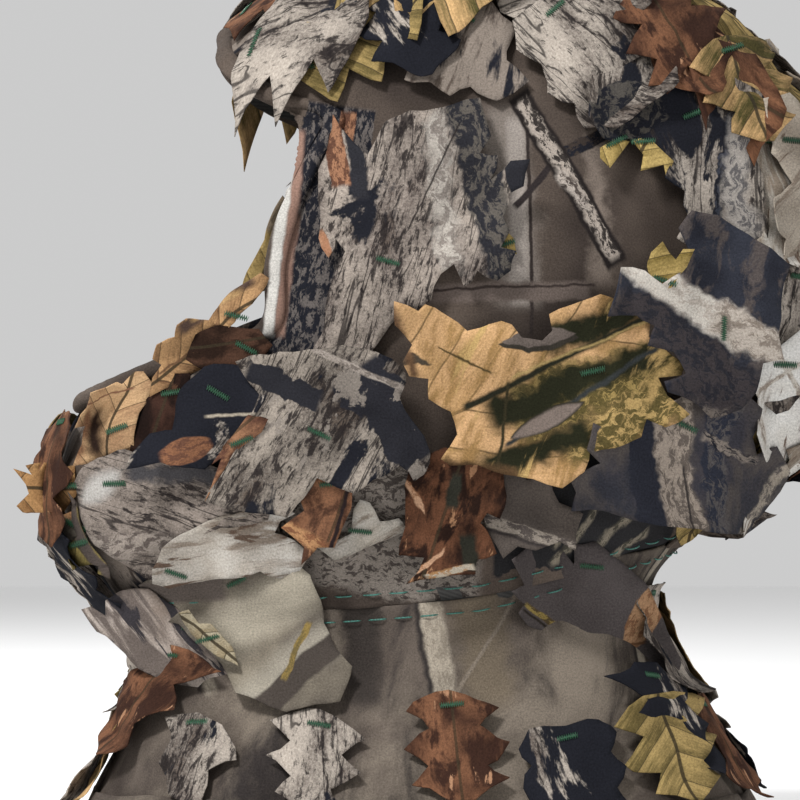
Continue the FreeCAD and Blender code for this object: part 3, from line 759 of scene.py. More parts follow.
stitch_paths = []
for sign in (1, -1):
    for row in (-4 * MM, 4 * MM):
        turns = np.linspace(0.5, 179.5, 3000)
        line = around(turns, neck_height(turns))
        gone = np.concatenate([[0], np.cumsum(np.linalg.norm(np.diff(line, axis=0), axis=1))])
        for start in np.arange(0.3 * STITCH_PITCH, gone[-1] - STITCH_PITCH, STITCH_PITCH):
            at = np.interp(start + np.linspace(0, STITCH_LENGTH, 7), gone, turns)
            foot = settle(around(sign * at, neck_height(at) + row))
            up = normal(foot)
            bow = (0.2 * MM + 1.1 * MM * np.sin(np.linspace(0, math.pi, 7)) ** 0.5)[:, None]
            stitch_paths.append((foot + up * bow, up))
stitch_thread = thread_material("stitch_thread", (0.05, 0.20, 0.16))
casing_stitches = thread_tubes("neck_casing_stitches", stitch_paths, THREAD, stitch_thread)
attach(casing_stitches, "root")
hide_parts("casing_stitches")

# ---- Cloth leaves -----------------------------------------------------------------------
# Thin leaves cut from the printed cloth by laser, with jagged lobes. One bar-tack holds each;
# from there it stands off the head, wavers and rolls up at its edges.
LEAF_CLOTH = 0.35 * MM
EDGE_STEP = 1.2 * MM
SHEET_STEP = 1.7 * MM
LOOSE_FROM = 14 * MM             # a leaf wavers fully at this distance from its tack
FREE_FROM = 12 * MM              # and a free leaf has left the form at this one
LEAST_STAND = 1.2 * MM
LONG_WAVE, SHORT_WAVE, EDGE_WAVE = 30 * MM, 9 * MM, 24 * MM


def cut_outline(corners, tooth, seed):
    """A closed jagged outline: each long side gets a tooth, then even steps along the sides."""
    draw = np.random.default_rng(seed)
    middle = corners.mean(axis=0)
    jagged = []
    for here, there in zip(corners, np.roll(corners, -1, axis=0)):
        jagged.append(here)
        side = there - here
        length = np.linalg.norm(side)
        outward = np.array([side[1], -side[0]]) / length
        if np.dot(outward, (here + there) / 2 - middle) < 0:
            outward = -outward
        count = int(length / (6 * MM)) if tooth else 0
        for k in range(count):
            share = (k + draw.uniform(0.3, 0.7)) / count
            jagged.append(here + side * share + outward * tooth * draw.uniform(-0.8, 1.0))
    jagged = np.array(jagged)
    steps = []
    for here, there in zip(jagged, np.roll(jagged, -1, axis=0)):
        count = max(1, int(np.linalg.norm(there - here) / EDGE_STEP))
        steps.append(here + (there - here) * (np.arange(count) / count)[:, None])
    return np.concatenate(steps)


def within(points, outline):
    """Which points lie inside the outline: a ray from them crosses it an odd number of times."""
    a, b = outline[None], np.roll(outline, -1, axis=0)[None]
    u, v = points[:, None, 0], points[:, None, 1]
    spans = (a[..., 1] > v) != (b[..., 1] > v)
    rise = np.where(spans, b[..., 1] - a[..., 1], 1)
    crossing = a[..., 0] + (b[..., 0] - a[..., 0]) * (v - a[..., 1]) / rise
    return (spans & (u < crossing)).sum(axis=1) % 2 == 1


def edge_distance(points, outline):
    return np.min(np.linalg.norm(points[:, None] - outline[None], axis=2), axis=1)


def leaf_sheet(outline):
    """The flat sheet in an outline: three-sided faces between it and an even grid of points inside."""
    low, high = outline.min(axis=0), outline.max(axis=0)
    u, v = np.meshgrid(np.arange(low[0], high[0], SHEET_STEP),
                       np.arange(low[1], high[1], SHEET_STEP * 0.87))
    u[1::2] += SHEET_STEP / 2
    grid = np.stack([u, v], -1).reshape(-1, 2)
    grid = grid[within(grid, outline)]
    grid = grid[edge_distance(grid, outline) > 0.5 * SHEET_STEP]
    points = np.concatenate([outline, grid])
    count = len(outline)
    ring = [(k, (k + 1) % count) for k in range(count)]
    made = delaunay_2d_cdt([Vector(p) for p in points / MM], ring, [], 0, 1e-4)
    points = np.array([tuple(p) for p in made[0]]) * MM
    faces = np.array(made[2])
    return points, faces[within(points[faces].mean(axis=1), outline)]


def rolled(points, rolls):
    """In-plane shift and rise of points beyond each roll's line, wound on its radius.

    A roll is (direction in degrees, distance of its line from 0, radius, most turn in degrees).
    """
    shift, rise = np.zeros_like(points), np.zeros(len(points))
    for direction, start, radius, most in rolls:
        way = np.array([math.cos(math.radians(direction)), math.sin(math.radians(direction))])
        past = np.maximum(0, points @ way - start * MM)
        angle = np.minimum(past / (radius * MM), math.radians(most))
        straight = past - angle * radius * MM
        reach = radius * MM * np.sin(angle) + straight * np.cos(angle)
        shift += (reach - past)[:, None] * way
        rise += radius * MM * (1 - np.cos(angle)) + straight * np.sin(angle)
    return shift, rise


def foot_on(view, u, v):
    """Points of the form seen square from the side, from behind or from above."""
    if view == "side":
        return beside(u, v)
    if view in ("back", "front"):
        front, back, wide = section(v)
        rise = np.maximum(0, v - CROWN_BASE) / CROWN_RISE
        depth = np.sqrt(np.maximum(0.02, 1 - (u / wide) ** 2 - rise ** 2))
        reach = back * depth if view == "back" else -front * depth
        return settle(np.stack([u, HEAD_CENTRE + reach, v], axis=-1))
    front, back, wide = section(np.array(CROWN_BASE))
    along = (v - HEAD_CENTRE) / np.where(v < HEAD_CENTRE, front, back)
    rise = np.sqrt(np.maximum(0.02, 1 - (u / wide) ** 2 - along ** 2))
    return settle(np.stack([u, v, CROWN_BASE + CROWN_RISE * rise], axis=-1))


leaves = {}                      # how each leaf was made, so that the other side can repeat it
tacks = {}                       # bar-tack paths of each side and body
CURL_REACH = 5 * MM
TACK_LENGTH, TACK_WIDTH, TACK_ZIGS = 7.5 * MM, 1.8 * MM, 11


def zigzag(view, hold, angle, height, side):
    """A bar-tack's thread: a zigzag about the point hold, square to the cloth at that height."""
    share = np.linspace(-0.5, 0.5, 4 * TACK_ZIGS + 1)
    swing = np.abs((np.arange(len(share)) / 2) % 2 - 1) * 2 - 1
    a = math.radians(angle)
    along, across = share * TACK_LENGTH, swing * TACK_WIDTH / 2
    u = hold[0] + along * math.cos(a) - across * math.sin(a)
    v = hold[1] + along * math.sin(a) + across * math.cos(a)
    foot = foot_on(view, u, v)
    up = normal(foot)
    path = foot + up * (height + 0.35 * MM)
    return path * [side, 1, 1], up * [side, 1, 1]


def leaf(name, corners, material, height, rolls=(), tack=None, tooth=1.2, crumple=0.8, curl=1.6,
         free=None, side=1, nodes=(), body="root", bend=None, seed=0, view="side", frame_at=None):
    """One leaf. corners are (y, z) in mm; height is its clearance over the form in mm.

    Its height wavers as sine waves do, more away from its tack (y, z), and its edge curls up by
    as much as curl. free is (x, slope along y, slope along z) of a flat sheet that the leaf
    follows instead of the form, away from its tack. side is -1 for the wearer's right. bend is
    the start and end, as (y, z), of a stretch where the leaf would turn as it lifts with its body;
    when bend is given, that stretch is not used and the leaf is baked in place, not attached to its
    body.
    frame_at is the point and direction that the print is laid from, instead of the side plane.
    material is a material or the layers of one; view is where the corners are seen from. The leaf
    stands in for the CAD nodes given, and for the node of its own name if there is one.
    """
    if callable(material):
        material = cloth_material(name.replace("_leaf", "").replace("right_", ""), seed + 0.5, material)
    own_node = name if side < 0 else "left_" + name
    if own_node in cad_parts:
        nodes = (own_node,)
    leaves[name] = dict(corners=corners, material=material, height=height, rolls=rolls, tack=tack,
                        tooth=tooth, crumple=crumple, curl=curl, free=free, seed=seed, view=view,
                        frame_at=frame_at)
    corners = np.array(corners, dtype=float) * MM
    outline = cut_outline(corners, tooth * MM, seed)
    flat, faces = leaf_sheet(outline)
    hold = corners.mean(axis=0) if tack is None else np.array(tack[:2]) * MM
    away = np.linalg.norm(flat - hold, axis=1)
    shift, rise = rolled(flat - hold, rolls)
    laid = flat + shift
    foot = foot_on(view, laid[:, 0], laid[:, 1])
    up = normal(foot)
    place = np.pad(flat, ((0, 0), (0, 1)))
    looseness = np.clip(away / LOOSE_FROM, 0.08, 1)
    waver = crumple * MM * looseness * (ripple(place, LONG_WAVE, seed + 5)
                                        + 0.25 * ripple(place, SHORT_WAVE, seed + 6))
    edge = np.exp(-edge_distance(flat, outline) / CURL_REACH)
    waver += curl * MM * edge * looseness * (0.45 + 0.6 * ripple(place, EDGE_WAVE, seed + 7))
    stand = np.maximum(height * MM + rise + waver, LEAST_STAND)
    points = foot + up * stand[:, None]
    if free:
        x, along_y, along_z = free
        plane_x = x * MM + along_y * (laid[:, 0] - hold[0]) + along_z * (laid[:, 1] - hold[1])
        plane = np.column_stack([plane_x + rise + waver, laid[:, 0], laid[:, 1]])
        share = np.clip(away / FREE_FROM, 0, 1)[:, None] ** 1.5
        points = points * (1 - share) + plane * share
        up = up * (1 - share) + np.array([1, 0, 0]) * share
    points[:, 0] *= side
    up = up * [side, 1, 1]
    piece = new_mesh(name, points, faces)
    face_out(piece, points, faces, up)
    if frame_at:
        c, d = math.cos(math.radians(frame_at[2])), math.sin(math.radians(frame_at[2]))
        moved = flat * 100 - np.array(frame_at[:2]) / 10
        set_print(piece, np.column_stack([moved @ [c, d], moved @ [-d, c]]))
    else:
        set_print(piece, flat * 100)
    thicken(piece, LEAF_CLOTH)
    piece.data.materials.append(material)
    angle = tack[2] if tack and len(tack) > 2 else seed * 37 % 60 - 30
    tacks.setdefault((side, body, bend), []).append(zigzag(view, hold, angle, height * MM, side))
    if bend:
        start, end = (foot_on(view, np.array(y * MM), np.array(z * MM)) for y, z in bend)
        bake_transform(piece)
    else:
        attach(piece, body)
    if nodes:
        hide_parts(*nodes)
    declare_sheet(points, faces, flat)
    return piece


SMALLEST_SHEET = 11 * MM


def declare_sheet(points, faces, flat):
    """Works out the cut size: the flat sheet's length and width, scaled to the cloth's own area, and
    compares the width with SMALLEST_SHEET; neither is kept or stated.
    """
    a, b, c = (points[faces[:, k]] for k in range(3))
    area = float(np.linalg.norm(np.cross(b - a, c - a), axis=1).sum() / 2)
    a, b, c = (flat[faces[:, k]] for k in range(3))
    drawn = float(np.abs(np.cross(b - a, c - a)).sum() / 2)
    turned = flat @ np.linalg.svd(flat - flat.mean(axis=0), full_matrices=False)[2].T
    sides = (turned.max(axis=0) - turned.min(axis=0)) * math.sqrt(area / drawn)
    sides.min() > SMALLEST_SHEET


def bark_print(angle, navy=0.0, width=0.25, light=BARK_LIGHT, middle=BARK_MIDDLE, extra=None, fleck=0.5):
    """Layers of a bark print, with a share of navy gaps and any further layers."""
    def layers(p):
        p.bark(angle, light, middle, BARK_DARK, width, fleck)
        if navy:
            p.blots(NAVY, navy, 1.8, angle, 2.0)
        if extra:
            extra(p)
    return layers


def vein_print(angle, x, z, light, dark, vein=VEIN, spacing=1.1, extra=None, slant=0.85, shade=0.5):
    """Layers of a printed leaf seen close, and any further layers."""
    def layers(p):
        p.veins(angle, x, z, light, dark, vein, spacing, slant, shade)
        if extra:
            extra(p)
    return layers


def birch_print(angle, extra=None, light=CREAM_WHITE, middle=CREAM, streak=BROWN_STREAK, amount=0.34):
    """Layers of a pale bark print with thin brown streaks along it."""
    def layers(p):
        p.plain(light, middle, 1.4)
        between = tuple(0.5 * (a + b) for a, b in zip(middle, streak))
        p.blots(between, amount + 0.08, 0.7, angle, 5.0, soft=0.05)
        p.blots(streak, amount - 0.06, 0.4, angle, 6.0, salt=13.0, soft=0.03)
        if extra:
            extra(p)
    return layers


def flame_print(angle, x, z, dark, light, flame, extra=None):
    """Layers of a dry red-brown leaf: dark ground, soft lighter streaks and pale flame marks."""
    def layers(p):
        p.plain(light, dark, 1.0)
        p.blots(light, 0.42, 1.0, angle, 3.0, soft=0.08)
        p.blots(dark, 0.40, 0.8, angle, 2.0, salt=19.0, soft=0.06)
        p.blots(flame, 0.10, 0.5, angle, 3.0, salt=23.0, soft=0.02)
        p.lay(p.turned(angle, x, z)[1].size().step(0.06, 0.03) * 0.7, VEIN)
        if extra:
            extra(p)
    return layers


# The large pieces on the wearer's left, from the lowest layer up. Temple bark: a wide strip of
# trunk with navy lobes at its back edge.
def temple_extra(p):
    p.bands([(21, 94, 33, 36, 12, (0.03, 0.03, 0.036), (0.13, 0.115, 0.1), 0.3, 0.1),
             (32, 92, 40, 60, 9, (0.028, 0.028, 0.034), None, 0.1),
             (13, 88, 17, 40, 6, (0.56, 0.51, 0.45), (0.3, 0.26, 0.23), 0.4, 0.22),
             (19, 84, 3, 52, 0.5, BARK_DARK, None, 0.05),
             (-14, 92, -12, 62, 4.4, (0.035, 0.035, 0.042), None, 0.2, 0.05),
             (-21, 88, -17, 66, 6, RUST, RUST_LIGHT, 0.1),
             (-24, 52, -21, 44, 3.5, (0.5, 0.27, 0.16), RUST_LIGHT, 0.1),
             (-18, 14, 8, 4, 1.6, (0.42, 0.36, 0.32), BARK_MIDDLE, 0.1)])


leaf("temple_bark_leaf", [(-20, 88), (-9, 75), (-3, 84), (4, 88), (26, 92), (29, 80), (25, 75),
     (31, 74), (28, 67), (35, 72), (41, 72), (39, 65), (34, 63), (32, 56), (34, 52), (31, 47),
     (36, 46), (34, 40), (30, 37), (24, 40), (20, 35), (17, 42), (13, 39), (10, 31), (0, 26), (-14, 8),
     (-26, 14), (-23, 26), (-20, 37), (-16, 46), (-19, 50), (-21, 44), (-24, 50), (-23, 58),
     (-24, 66)], bark_print(74, 0.06, width=0.16, extra=temple_extra, light=(0.44, 0.375, 0.32),
     middle=(0.24, 0.2, 0.175)), 3.5, rolls=[(20, 30, 14, 30), (200, 22, 16, 25)], tack=(-3, 43, -15),
     crumple=1.5, tooth=0.9, seed=1)
leaf("crown_twig_leaf", [(8, 122), (24, 126), (36, 116), (33, 104), (40, 98), (30, 92), (22, 97),
     (16, 93), (10, 97), (2, 98), (8, 106), (0, 114)], wild_print, 3.0, rolls=[(-80, 22, 12, 40)],
     tack=(20, 118), seed=2)


def trunk_extra(p):
    p.bands([(101, 94, 97, 46, 3, NAVY, NAVY_PALE, 0.3),
             (56, 83, 80, 92, 12, NAVY, (0.1, 0.09, 0.08), 0.4),
             (104, 90, 106, 50, 9, (0.46, 0.42, 0.38), (0.16, 0.15, 0.15), 0.4, 0.2)])


leaf("back_trunk_leaf", [(58, 98), (54, 84), (60, 79), (70, 80), (76, 79), (82, 72), (80, 68),
     (86, 64), (87, 57), (84, 50), (92, 44), (102, 42), (112, 45), (112, 60), (112, 70), (109, 80),
     (111, 92), (96, 104), (76, 106)], bark_print(88, 0.36, 0.17, extra=trunk_extra), 4.5,
     rolls=[(195, 22, 10, 45)], tack=(90, 88), seed=3)
leaf("back_cream_leaf", [(110, 92), (113, 76), (115, 74), (119, 67), (112, 62), (110, 57), (111, 52),
     (116, 50), (112, 43), (115, 41), (121, 47), (128, 44), (131, 52), (132, 66), (127, 82),
     (118, 94)], birch_print(40, light=(0.6, 0.53, 0.44), middle=(0.42, 0.35, 0.28), amount=0.22), 6.0,
     rolls=[(190, 7, 7, 50)], tack=(120, 80), seed=4)


def branch_print(p):
    p.plain((0.17, 0.14, 0.12), (0.10, 0.083, 0.073), 3.0)
    p.bands([(24, -36, 56, -45, 3.6, (0.36, 0.31, 0.26), (0.12, 0.1, 0.09), 0.08),
             (24, -38.5, 56, -47.5, 0.9, (0.05, 0.042, 0.04), None, 0.06, 0.05)])


leaf("jaw_branch_leaf", [(32, -18), (37, -19), (39, -24), (44, -23), (46, -22), (47, -27), (49, -31),
     (56, -34), (53, -40), (52, -45), (48, -42), (41, -45), (36, -44), (32, -48), (30, -44), (27, -39),
     (26, -35), (28, -33), (31, -35)], branch_print, 3.0, rolls=[(-70, 12, 9, 50)], tack=(40, -22),
     seed=5, tooth=0.4)


def jaw_rust_extra(p):
    p.bands([(17, -22, 16, -32, 4, (0.035, 0.035, 0.026), None, 0.15, 0.06),
             (21, -40, 22, -52, 5, (0.03, 0.03, 0.022), None, 0.15, 0.06),
             (1, -22, 8, -34, 2.2, (0.62, 0.37, 0.23), (0.35, 0.17, 0.09), 0.12, 0.03, 1),
             (2, -57, 15, -44, 1.8, (0.62, 0.37, 0.23), (0.35, 0.17, 0.09), 0.1, 0.03, 1),
             (8, -56, 23, -50, 2.6, (0.48, 0.42, 0.33), (0.4, 0.22, 0.1), 0.1)])


leaf("jaw_rust_leaf", [(2, -25), (4, -18), (14, -14), (24, -16), (32, -20), (33, -28), (31, -35),
     (27, -33), (25, -36), (30, -45), (24, -47), (23, -53), (18, -54), (12, -56), (7, -57), (2, -59),
     (6, -53), (8, -47), (0, -47), (2, -38)], flame_print(72, 12, -40, (0.028, 0.014, 0.01),
     (0.17, 0.074, 0.04), (0.45, 0.24, 0.13), jaw_rust_extra), 4.0,
     rolls=[(-100, 22, 9, 60), (-10, 10, 12, 40)], tack=(18, -17), seed=6, tooth=0.5, crumple=1.2)


# The lower face: pale and dark bark pieces laid over each other from the chin up.
leaf("throat_bark_leaf", [(-94, -64), (-85, -60), (-80, -60), (-70, -66), (-60, -72), (-52, -80),
     (-50, -86), (-56, -92), (-72, -90), (-86, -83), (-97, -74), (-102, -67), (-99, -66), (-94, -69)],
     birch_print(-52, light=(0.6, 0.52, 0.46), middle=(0.3, 0.24, 0.2), streak=(0.05, 0.045, 0.05),
     amount=0.4), 2.5, rolls=[(215, 26, 10, 40)], tack=(-64, -72), free=(40, 0.55, 0.1), seed=7)


def drape_cream_print(p):
    p.plain((0.30, 0.26, 0.20), (0.13, 0.11, 0.09), 2.0)
    p.bands([(-60, -78, -22, -52, 15, (0.48, 0.43, 0.34), None, 0.06, 0.45),
             (-48, -98, -18, -72, 11, (0.42, 0.38, 0.31), None, 0.06, 0.4),
             (-42, -100, -18, -76, 8, (0.085, 0.07, 0.06), None, 0.05, 0.06),
             (-27, -70, -35, -90, 2.0, (0.3, 0.21, 0.07), KHAKI_DARK),
             (-84, -62, -54, -58, 8, (0.14, 0.115, 0.1), None, 0.06, 0.1)])


leaf("drape_cream_leaf", [(-82, -58), (-74, -54), (-58, -50), (-42, -48), (-32, -48), (-27, -53),
     (-24, -62), (-23, -70), (-19, -79), (-13, -86), (-18, -96), (-34, -100), (-50, -94), (-58, -80),
     (-68, -70), (-80, -67)], drape_cream_print, 3.0, rolls=[(8, 26, 6, 40)], tack=(-50, -56), seed=8,
     tooth=0.3, crumple=1.8)


def cheek_bark_extra(p):
    p.bands([(-99, -32, -86, -22, 7, (0.6, 0.57, 0.53), None, 0.06, 0.2, 1),
             (-84, -22, -56, -24, 5, (0.09, 0.085, 0.09), None, 0.3, 0.15),
             (-100, -42, -60, -46, 6, (0.42, 0.36, 0.31), (0.16, 0.13, 0.115), 0.3, 0.2)])


leaf("cheek_bark_leaf", [(-99, -36), (-101, -26), (-97, -21), (-90, -18), (-84, -16), (-78, -18),
     (-70, -16), (-58, -20), (-48, -24), (-38, -28), (-40, -36), (-54, -38), (-64, -42), (-70, -50),
     (-75, -55), (-84, -50), (-94, -44)], bark_print(-16, 0.0, 0.15, (0.34, 0.285, 0.245),
     (0.17, 0.14, 0.12), cheek_bark_extra), 3.5, rolls=[(250, 18, 10, 40)], tack=(-88, -26), seed=9,
     tooth=0.5, crumple=1.2)
leaf("chin_cream_leaf", [(-72, -44), (-75, -50), (-75, -55), (-70, -57), (-60, -55), (-50, -53),
     (-42, -51), (-36, -54), (-30, -51), (-27, -46), (-32, -42), (-38, -40), (-36, -36), (-31, -33),
     (-37, -31), (-50, -34), (-58, -36), (-66, -40)], birch_print(8, light=(0.66, 0.62, 0.56),
     middle=(0.46, 0.4, 0.33), amount=0.3), 6.0, rolls=[(185, 14, 6, 50)], tack=(-68, -52), seed=10,
     tooth=0.5)
leaf("throat_khaki_leaf", [(-66, -64), (-63, -63), (-60, -69), (-56, -69), (-50, -78), (-48, -86),
     (-54, -82), (-62, -73), (-64, -69)], vein_print(-48, -66, -64, (0.55, 0.48, 0.34),
     (0.36, 0.29, 0.18)), 6.5, rolls=[(50, 2, 6, 40)], tack=(-57, -75), seed=11, tooth=0.3)
leaf("jaw_white_leaf", [(-14, -33), (-12, -30), (-9, -31), (-6, -37), (0, -36), (3, -40), (-5, -43),
     (-14, -47), (-20, -49), (-25, -45), (-15, -41)], birch_print(30, light=(0.66, 0.62, 0.56),
     middle=(0.46, 0.41, 0.34), amount=0.2), 3.0, tack=(-12, -40), seed=12, tooth=0.3)
leaf("cheek_navy_leaf", [(-67, -2), (-64, 4), (-58, 10), (-50, 11), (-42, 10), (-38, 4), (-42, -4),
     (-50, -14), (-58, -21), (-70, -20), (-79, -23), (-74, -12), (-68, -10)],
     bark_print(48, 0.6, 0.17, extra=lambda p: (p.band([(-58, -5), (-42, -4)], 0.8, CREAM),
     p.band([(-70, -19), (-57, -13)], 8, (0.26, 0.12, 0.065), speck=RUST, taper=0.6))), 6.0,
     rolls=[(230, 12, 8, 30)], tack=(-54, 2), seed=13, tooth=0.7)


def cheek_rust_extra(p):
    p.bands([(-38, -34, -20, -44, 4.2, (0.5, 0.27, 0.13), (0.26, 0.115, 0.06), 0.12, 0.08),
             (-14, -22, -20, -44, 1.2, (0.03, 0.02, 0.02))])


leaf("cheek_rust_leaf", [(-25, -22), (-20, -20), (-14, -22), (-14, -31), (-17, -38), (-19, -43),
     (-24, -43), (-29, -49), (-28, -43), (-35, -37), (-31, -34), (-28, -32), (-30, -27)],
     flame_print(70, -22, -44, (0.1, 0.048, 0.03), (0.3, 0.145, 0.08), (0.36, 0.18, 0.1),
     cheek_rust_extra), 7.5, rolls=[(250, 14, 7, 60)], tack=(-20, -24), seed=14, tooth=0.3)


def cheekbone_extra(p):
    p.band([(-12, 10), (8, -16)], 15, (0.030, 0.030, 0.037), ragged=0.4, soft=0.04)
    p.blots((0.30, 0.26, 0.225), 0.16, 1.0, 62, 1.4, salt=61.0, soft=0.015)
    p.bands([(-44, 10, -22, 2, 7, (0.028, 0.028, 0.034), None, 0.35, 0.03),
             (-24, 16, 4, 4, 1.7, (0.44, 0.38, 0.33), BARK_MIDDLE, 0.06)])


leaf("cheekbone_bark_leaf", [(-47, 12), (-40, 14), (-34, 15), (-25, 16), (-12, 17), (-2, 14), (3, 9),
     (1, 2), (5, -5), (10, -14), (8, -21), (5, -23), (1, -18), (-7, -22), (-13, -26), (-24, -22),
     (-28, -28), (-33, -34), (-44, -32), (-58, -29), (-50, -18), (-44, -8), (-41, 2)],
     bark_print(60, 0.34, 0.16, (0.4, 0.345, 0.29), (0.2, 0.17, 0.145), cheekbone_extra), 9.0,
     rolls=[(150, 24, 9, 45), (-80, 24, 12, 50)], tack=(-23, -9, -25), crumple=1.6, tooth=0.8, seed=15)
leaf("cheek_rust_strip", [(-44, -4), (-38, -5), (-40, -9), (-48, -15), (-57, -29), (-52, -17),
     (-55, -19)], flame_print(40, -44, -6, (0.13, 0.06, 0.04), (0.5, 0.26, 0.14), (0.66, 0.42, 0.27)),
     9.5, rolls=[(-40, 1, 4, 60)], tack=(-46, -12), seed=16, tooth=0, crumple=0.5)


# The back of the head: navy and cream pieces, white leaves and the dark nape piece.
def nape_white_extra(p):
    p.bands([(108, 26, 128, -8, 1.5, (0.36, 0.3, 0.25), (0.62, 0.57, 0.5), 0.12),
             (106, 2, 128, 16, 1.2, (0.36, 0.3, 0.25), (0.62, 0.57, 0.5), 0.12),
             (103, 10, 108, -10, 4, (0.3, 0.24, 0.19), (0.66, 0.6, 0.53), 0.3, 0.1)])


leaf("nape_white_leaf", [(106, 13), (112, 15), (117, 19), (122, 24), (127, 16), (130, 2), (129, -10),
     (124, -18), (119, -21), (115, -12), (106, -14), (103, -7), (108, 2), (104, 7)],
     birch_print(70, nape_white_extra, (0.86, 0.84, 0.8), (0.7, 0.66, 0.6), amount=0.1), 6.0,
     rolls=[(200, 8, 7, 40)], tack=(117, 12), seed=17, tooth=0.4)


def nape_bark_print(p):
    p.plain((0.072, 0.066, 0.078), (0.040, 0.041, 0.052), 1.6)
    p.blots((0.105, 0.090, 0.084), 0.5, 1.4, 80, 2.0, soft=0.1)
    p.bands([(73, -2, 75, -38, 9, (0.03, 0.032, 0.044), None, 0.25, 0.05),
             (83, 2, 85, -38, 11, (0.42, 0.35, 0.29), (0.17, 0.14, 0.12), 0.28, 0.08),
             (86, -18, 87, -38, 0.7, (0.05, 0.042, 0.04), None, 0.05),
             (98, 2, 94, -36, 7, (0.034, 0.038, 0.055), (0.11, 0.1, 0.1), 0.3, 0.06),
             (102, -38, 119, -15, 2.6, (0.44, 0.38, 0.31), (0.15, 0.13, 0.12), 0.2, 0.06),
             (92, -8, 108, -15, 3.2, (0.26, 0.22, 0.19), NAVY, 0.3, 0.06)])


leaf("nape_bark_leaf", [(58, -5), (62, -7), (66, -9), (72, -4), (84, 2), (92, 6), (102, 4), (107, 0),
     (105, -8), (107, -13), (114, -11), (119, -18), (117, -24), (111, -31), (117, -35), (100, -35),
     (88, -34), (76, -33), (64, -32), (51, -31), (53, -26), (51, -22), (60, -17), (56, -13)],
     nape_bark_print, 7.5, rolls=[(-90, 20, 14, 45)], tack=(86, -6), seed=18, tooth=0.3, crumple=1.3)


def gold_print(p):
    """Golden ground with green-dark shade along two midribs, and a taupe window between them."""
    dark, olive = (0.026, 0.027, 0.014), (0.13, 0.10, 0.036)
    p.veins(26, 20, -1, (0.80, 0.49, 0.245), (0.44, 0.27, 0.11), (0.09, 0.06, 0.03), 2.3, 1.6, 0.2)
    p.blots((0.42, 0.25, 0.10), 0.40, 0.7, 66, 3.0, soft=0.10)
    p.bands([(34, -2, 90, 14, 17, olive, (0.42, 0.3, 0.11), 0.5, 0.3),
             (50, -14, 90, 6, 12, (0.15, 0.115, 0.042), (0.58, 0.4, 0.16), 0.4, 0.2),
             (27, -3, 80, 16, 9, dark, None, 0.35, 0.22),
             (26, -20, 58, -7, 10, dark, None, 0.4, 0.25),
             (44, 17, 74, 32, 9, dark, None, 0.3, 0.2)])
    p.blots((0.62, 0.42, 0.17), 0.16, 0.8, 62, 4.0, salt=91.0, soft=0.05)
    p.bands([(20, -1, 76, 27, 1.9, (0.028, 0.028, 0.018), None, 0.05, 0.06),
             (34, 8, 76, 25.5, 0.7, (0.5, 0.36, 0.15), None, 0.08, 0.05),
             (30, -20, 33, 7, 0.9, (0.05, 0.042, 0.022), None, 0.06),
             (32, -12, 78, 17, 1.5, (0.045, 0.05, 0.05), None, 0.1, 0.06),
             (33.5, -10, 56, 1, 6.4, (0.04, 0.036, 0.024), None, 0.05, 0.03, 1),
             (34, -10, 55, 0.5, 5.2, (0.27, 0.215, 0.185), None, 0.05, 0.06, 1),
             (12, 17, 28, 9, 0.7, (0.1, 0.07, 0.03), None, 0.12),
             (30, 17, 54, 20, 7, (0.05, 0.043, 0.034), None, 0.14, 0.03, 1),
             (31, 18, 53, 21, 5.4, (0.17, 0.138, 0.12), None, 0.14, 0.03, 1),
             (-3, 13, 10, 11, 3.4, (0.09, 0.07, 0.05), None, 0.3, 0.06, 1),
             # Painted shade: a dark brown band along the curled left edge stands for the shade of the
             # curl.
             (-2, 30, 4, 8, 2.4, (0.16, 0.09, 0.05), None, 0.1, 0.12),
             (13, -17, 36, -22, 4, (0.12, 0.07, 0.035), None, 0.2, 0.15)])


leaf("temple_gold_leaf", [(-1, 31), (6, 28), (8, 30), (11, 29), (16, 26), (21, 22), (25, 23), (31, 25),
     (34, 24), (37, 20), (43, 19), (46, 22), (45, 27), (52, 30), (60, 33), (66, 31), (75, 26),
     (75, 20), (80, 16), (85, 12), (84, 9), (78, 8), (80, 3), (86, -2), (79, -6), (74, -4), (72, -9),
     (64, -12), (57, -14), (55, -20), (48, -25), (40, -22), (32, -21), (24, -18), (16, -18), (13, -16),
     (18, -9), (16, -2), (9, 2), (9, 8), (3, 9), (1, 13), (4, 18), (-1, 24)], gold_print, 8.0,
     rolls=[(180, 40, 9, 30), (-85, 22, 10, 45)], tack=(58, 10), crumple=1.3, tooth=0.4, curl=1.0,
     body="temple_gold_leaf_body", bend=((62, 10), (50, 10)), seed=19)


def ear_navy_print(p):
    p.plain((0.055, 0.060, 0.080), (0.030, 0.032, 0.044), 1.6)
    p.blots((0.12, 0.10, 0.095), 0.34, 0.7, 80, 2.0, soft=0.05)
    p.bands([(60, 30, 112, -8, 20, (0.062, 0.053, 0.056), (0.032, 0.032, 0.04), 0.4, 0.15),
             (86, -2, 104, -4, 8, (0.22, 0.185, 0.16), (0.05, 0.045, 0.05), 0.4, 0.15),
             (64, 45, 100, 20, 9, (0.78, 0.72, 0.64), (0.62, 0.55, 0.48), 0.2, 0.1),
             (92, 26, 118, 12, 10, (0.66, 0.58, 0.5), (0.36, 0.3, 0.25), 0.3, 0.12)])


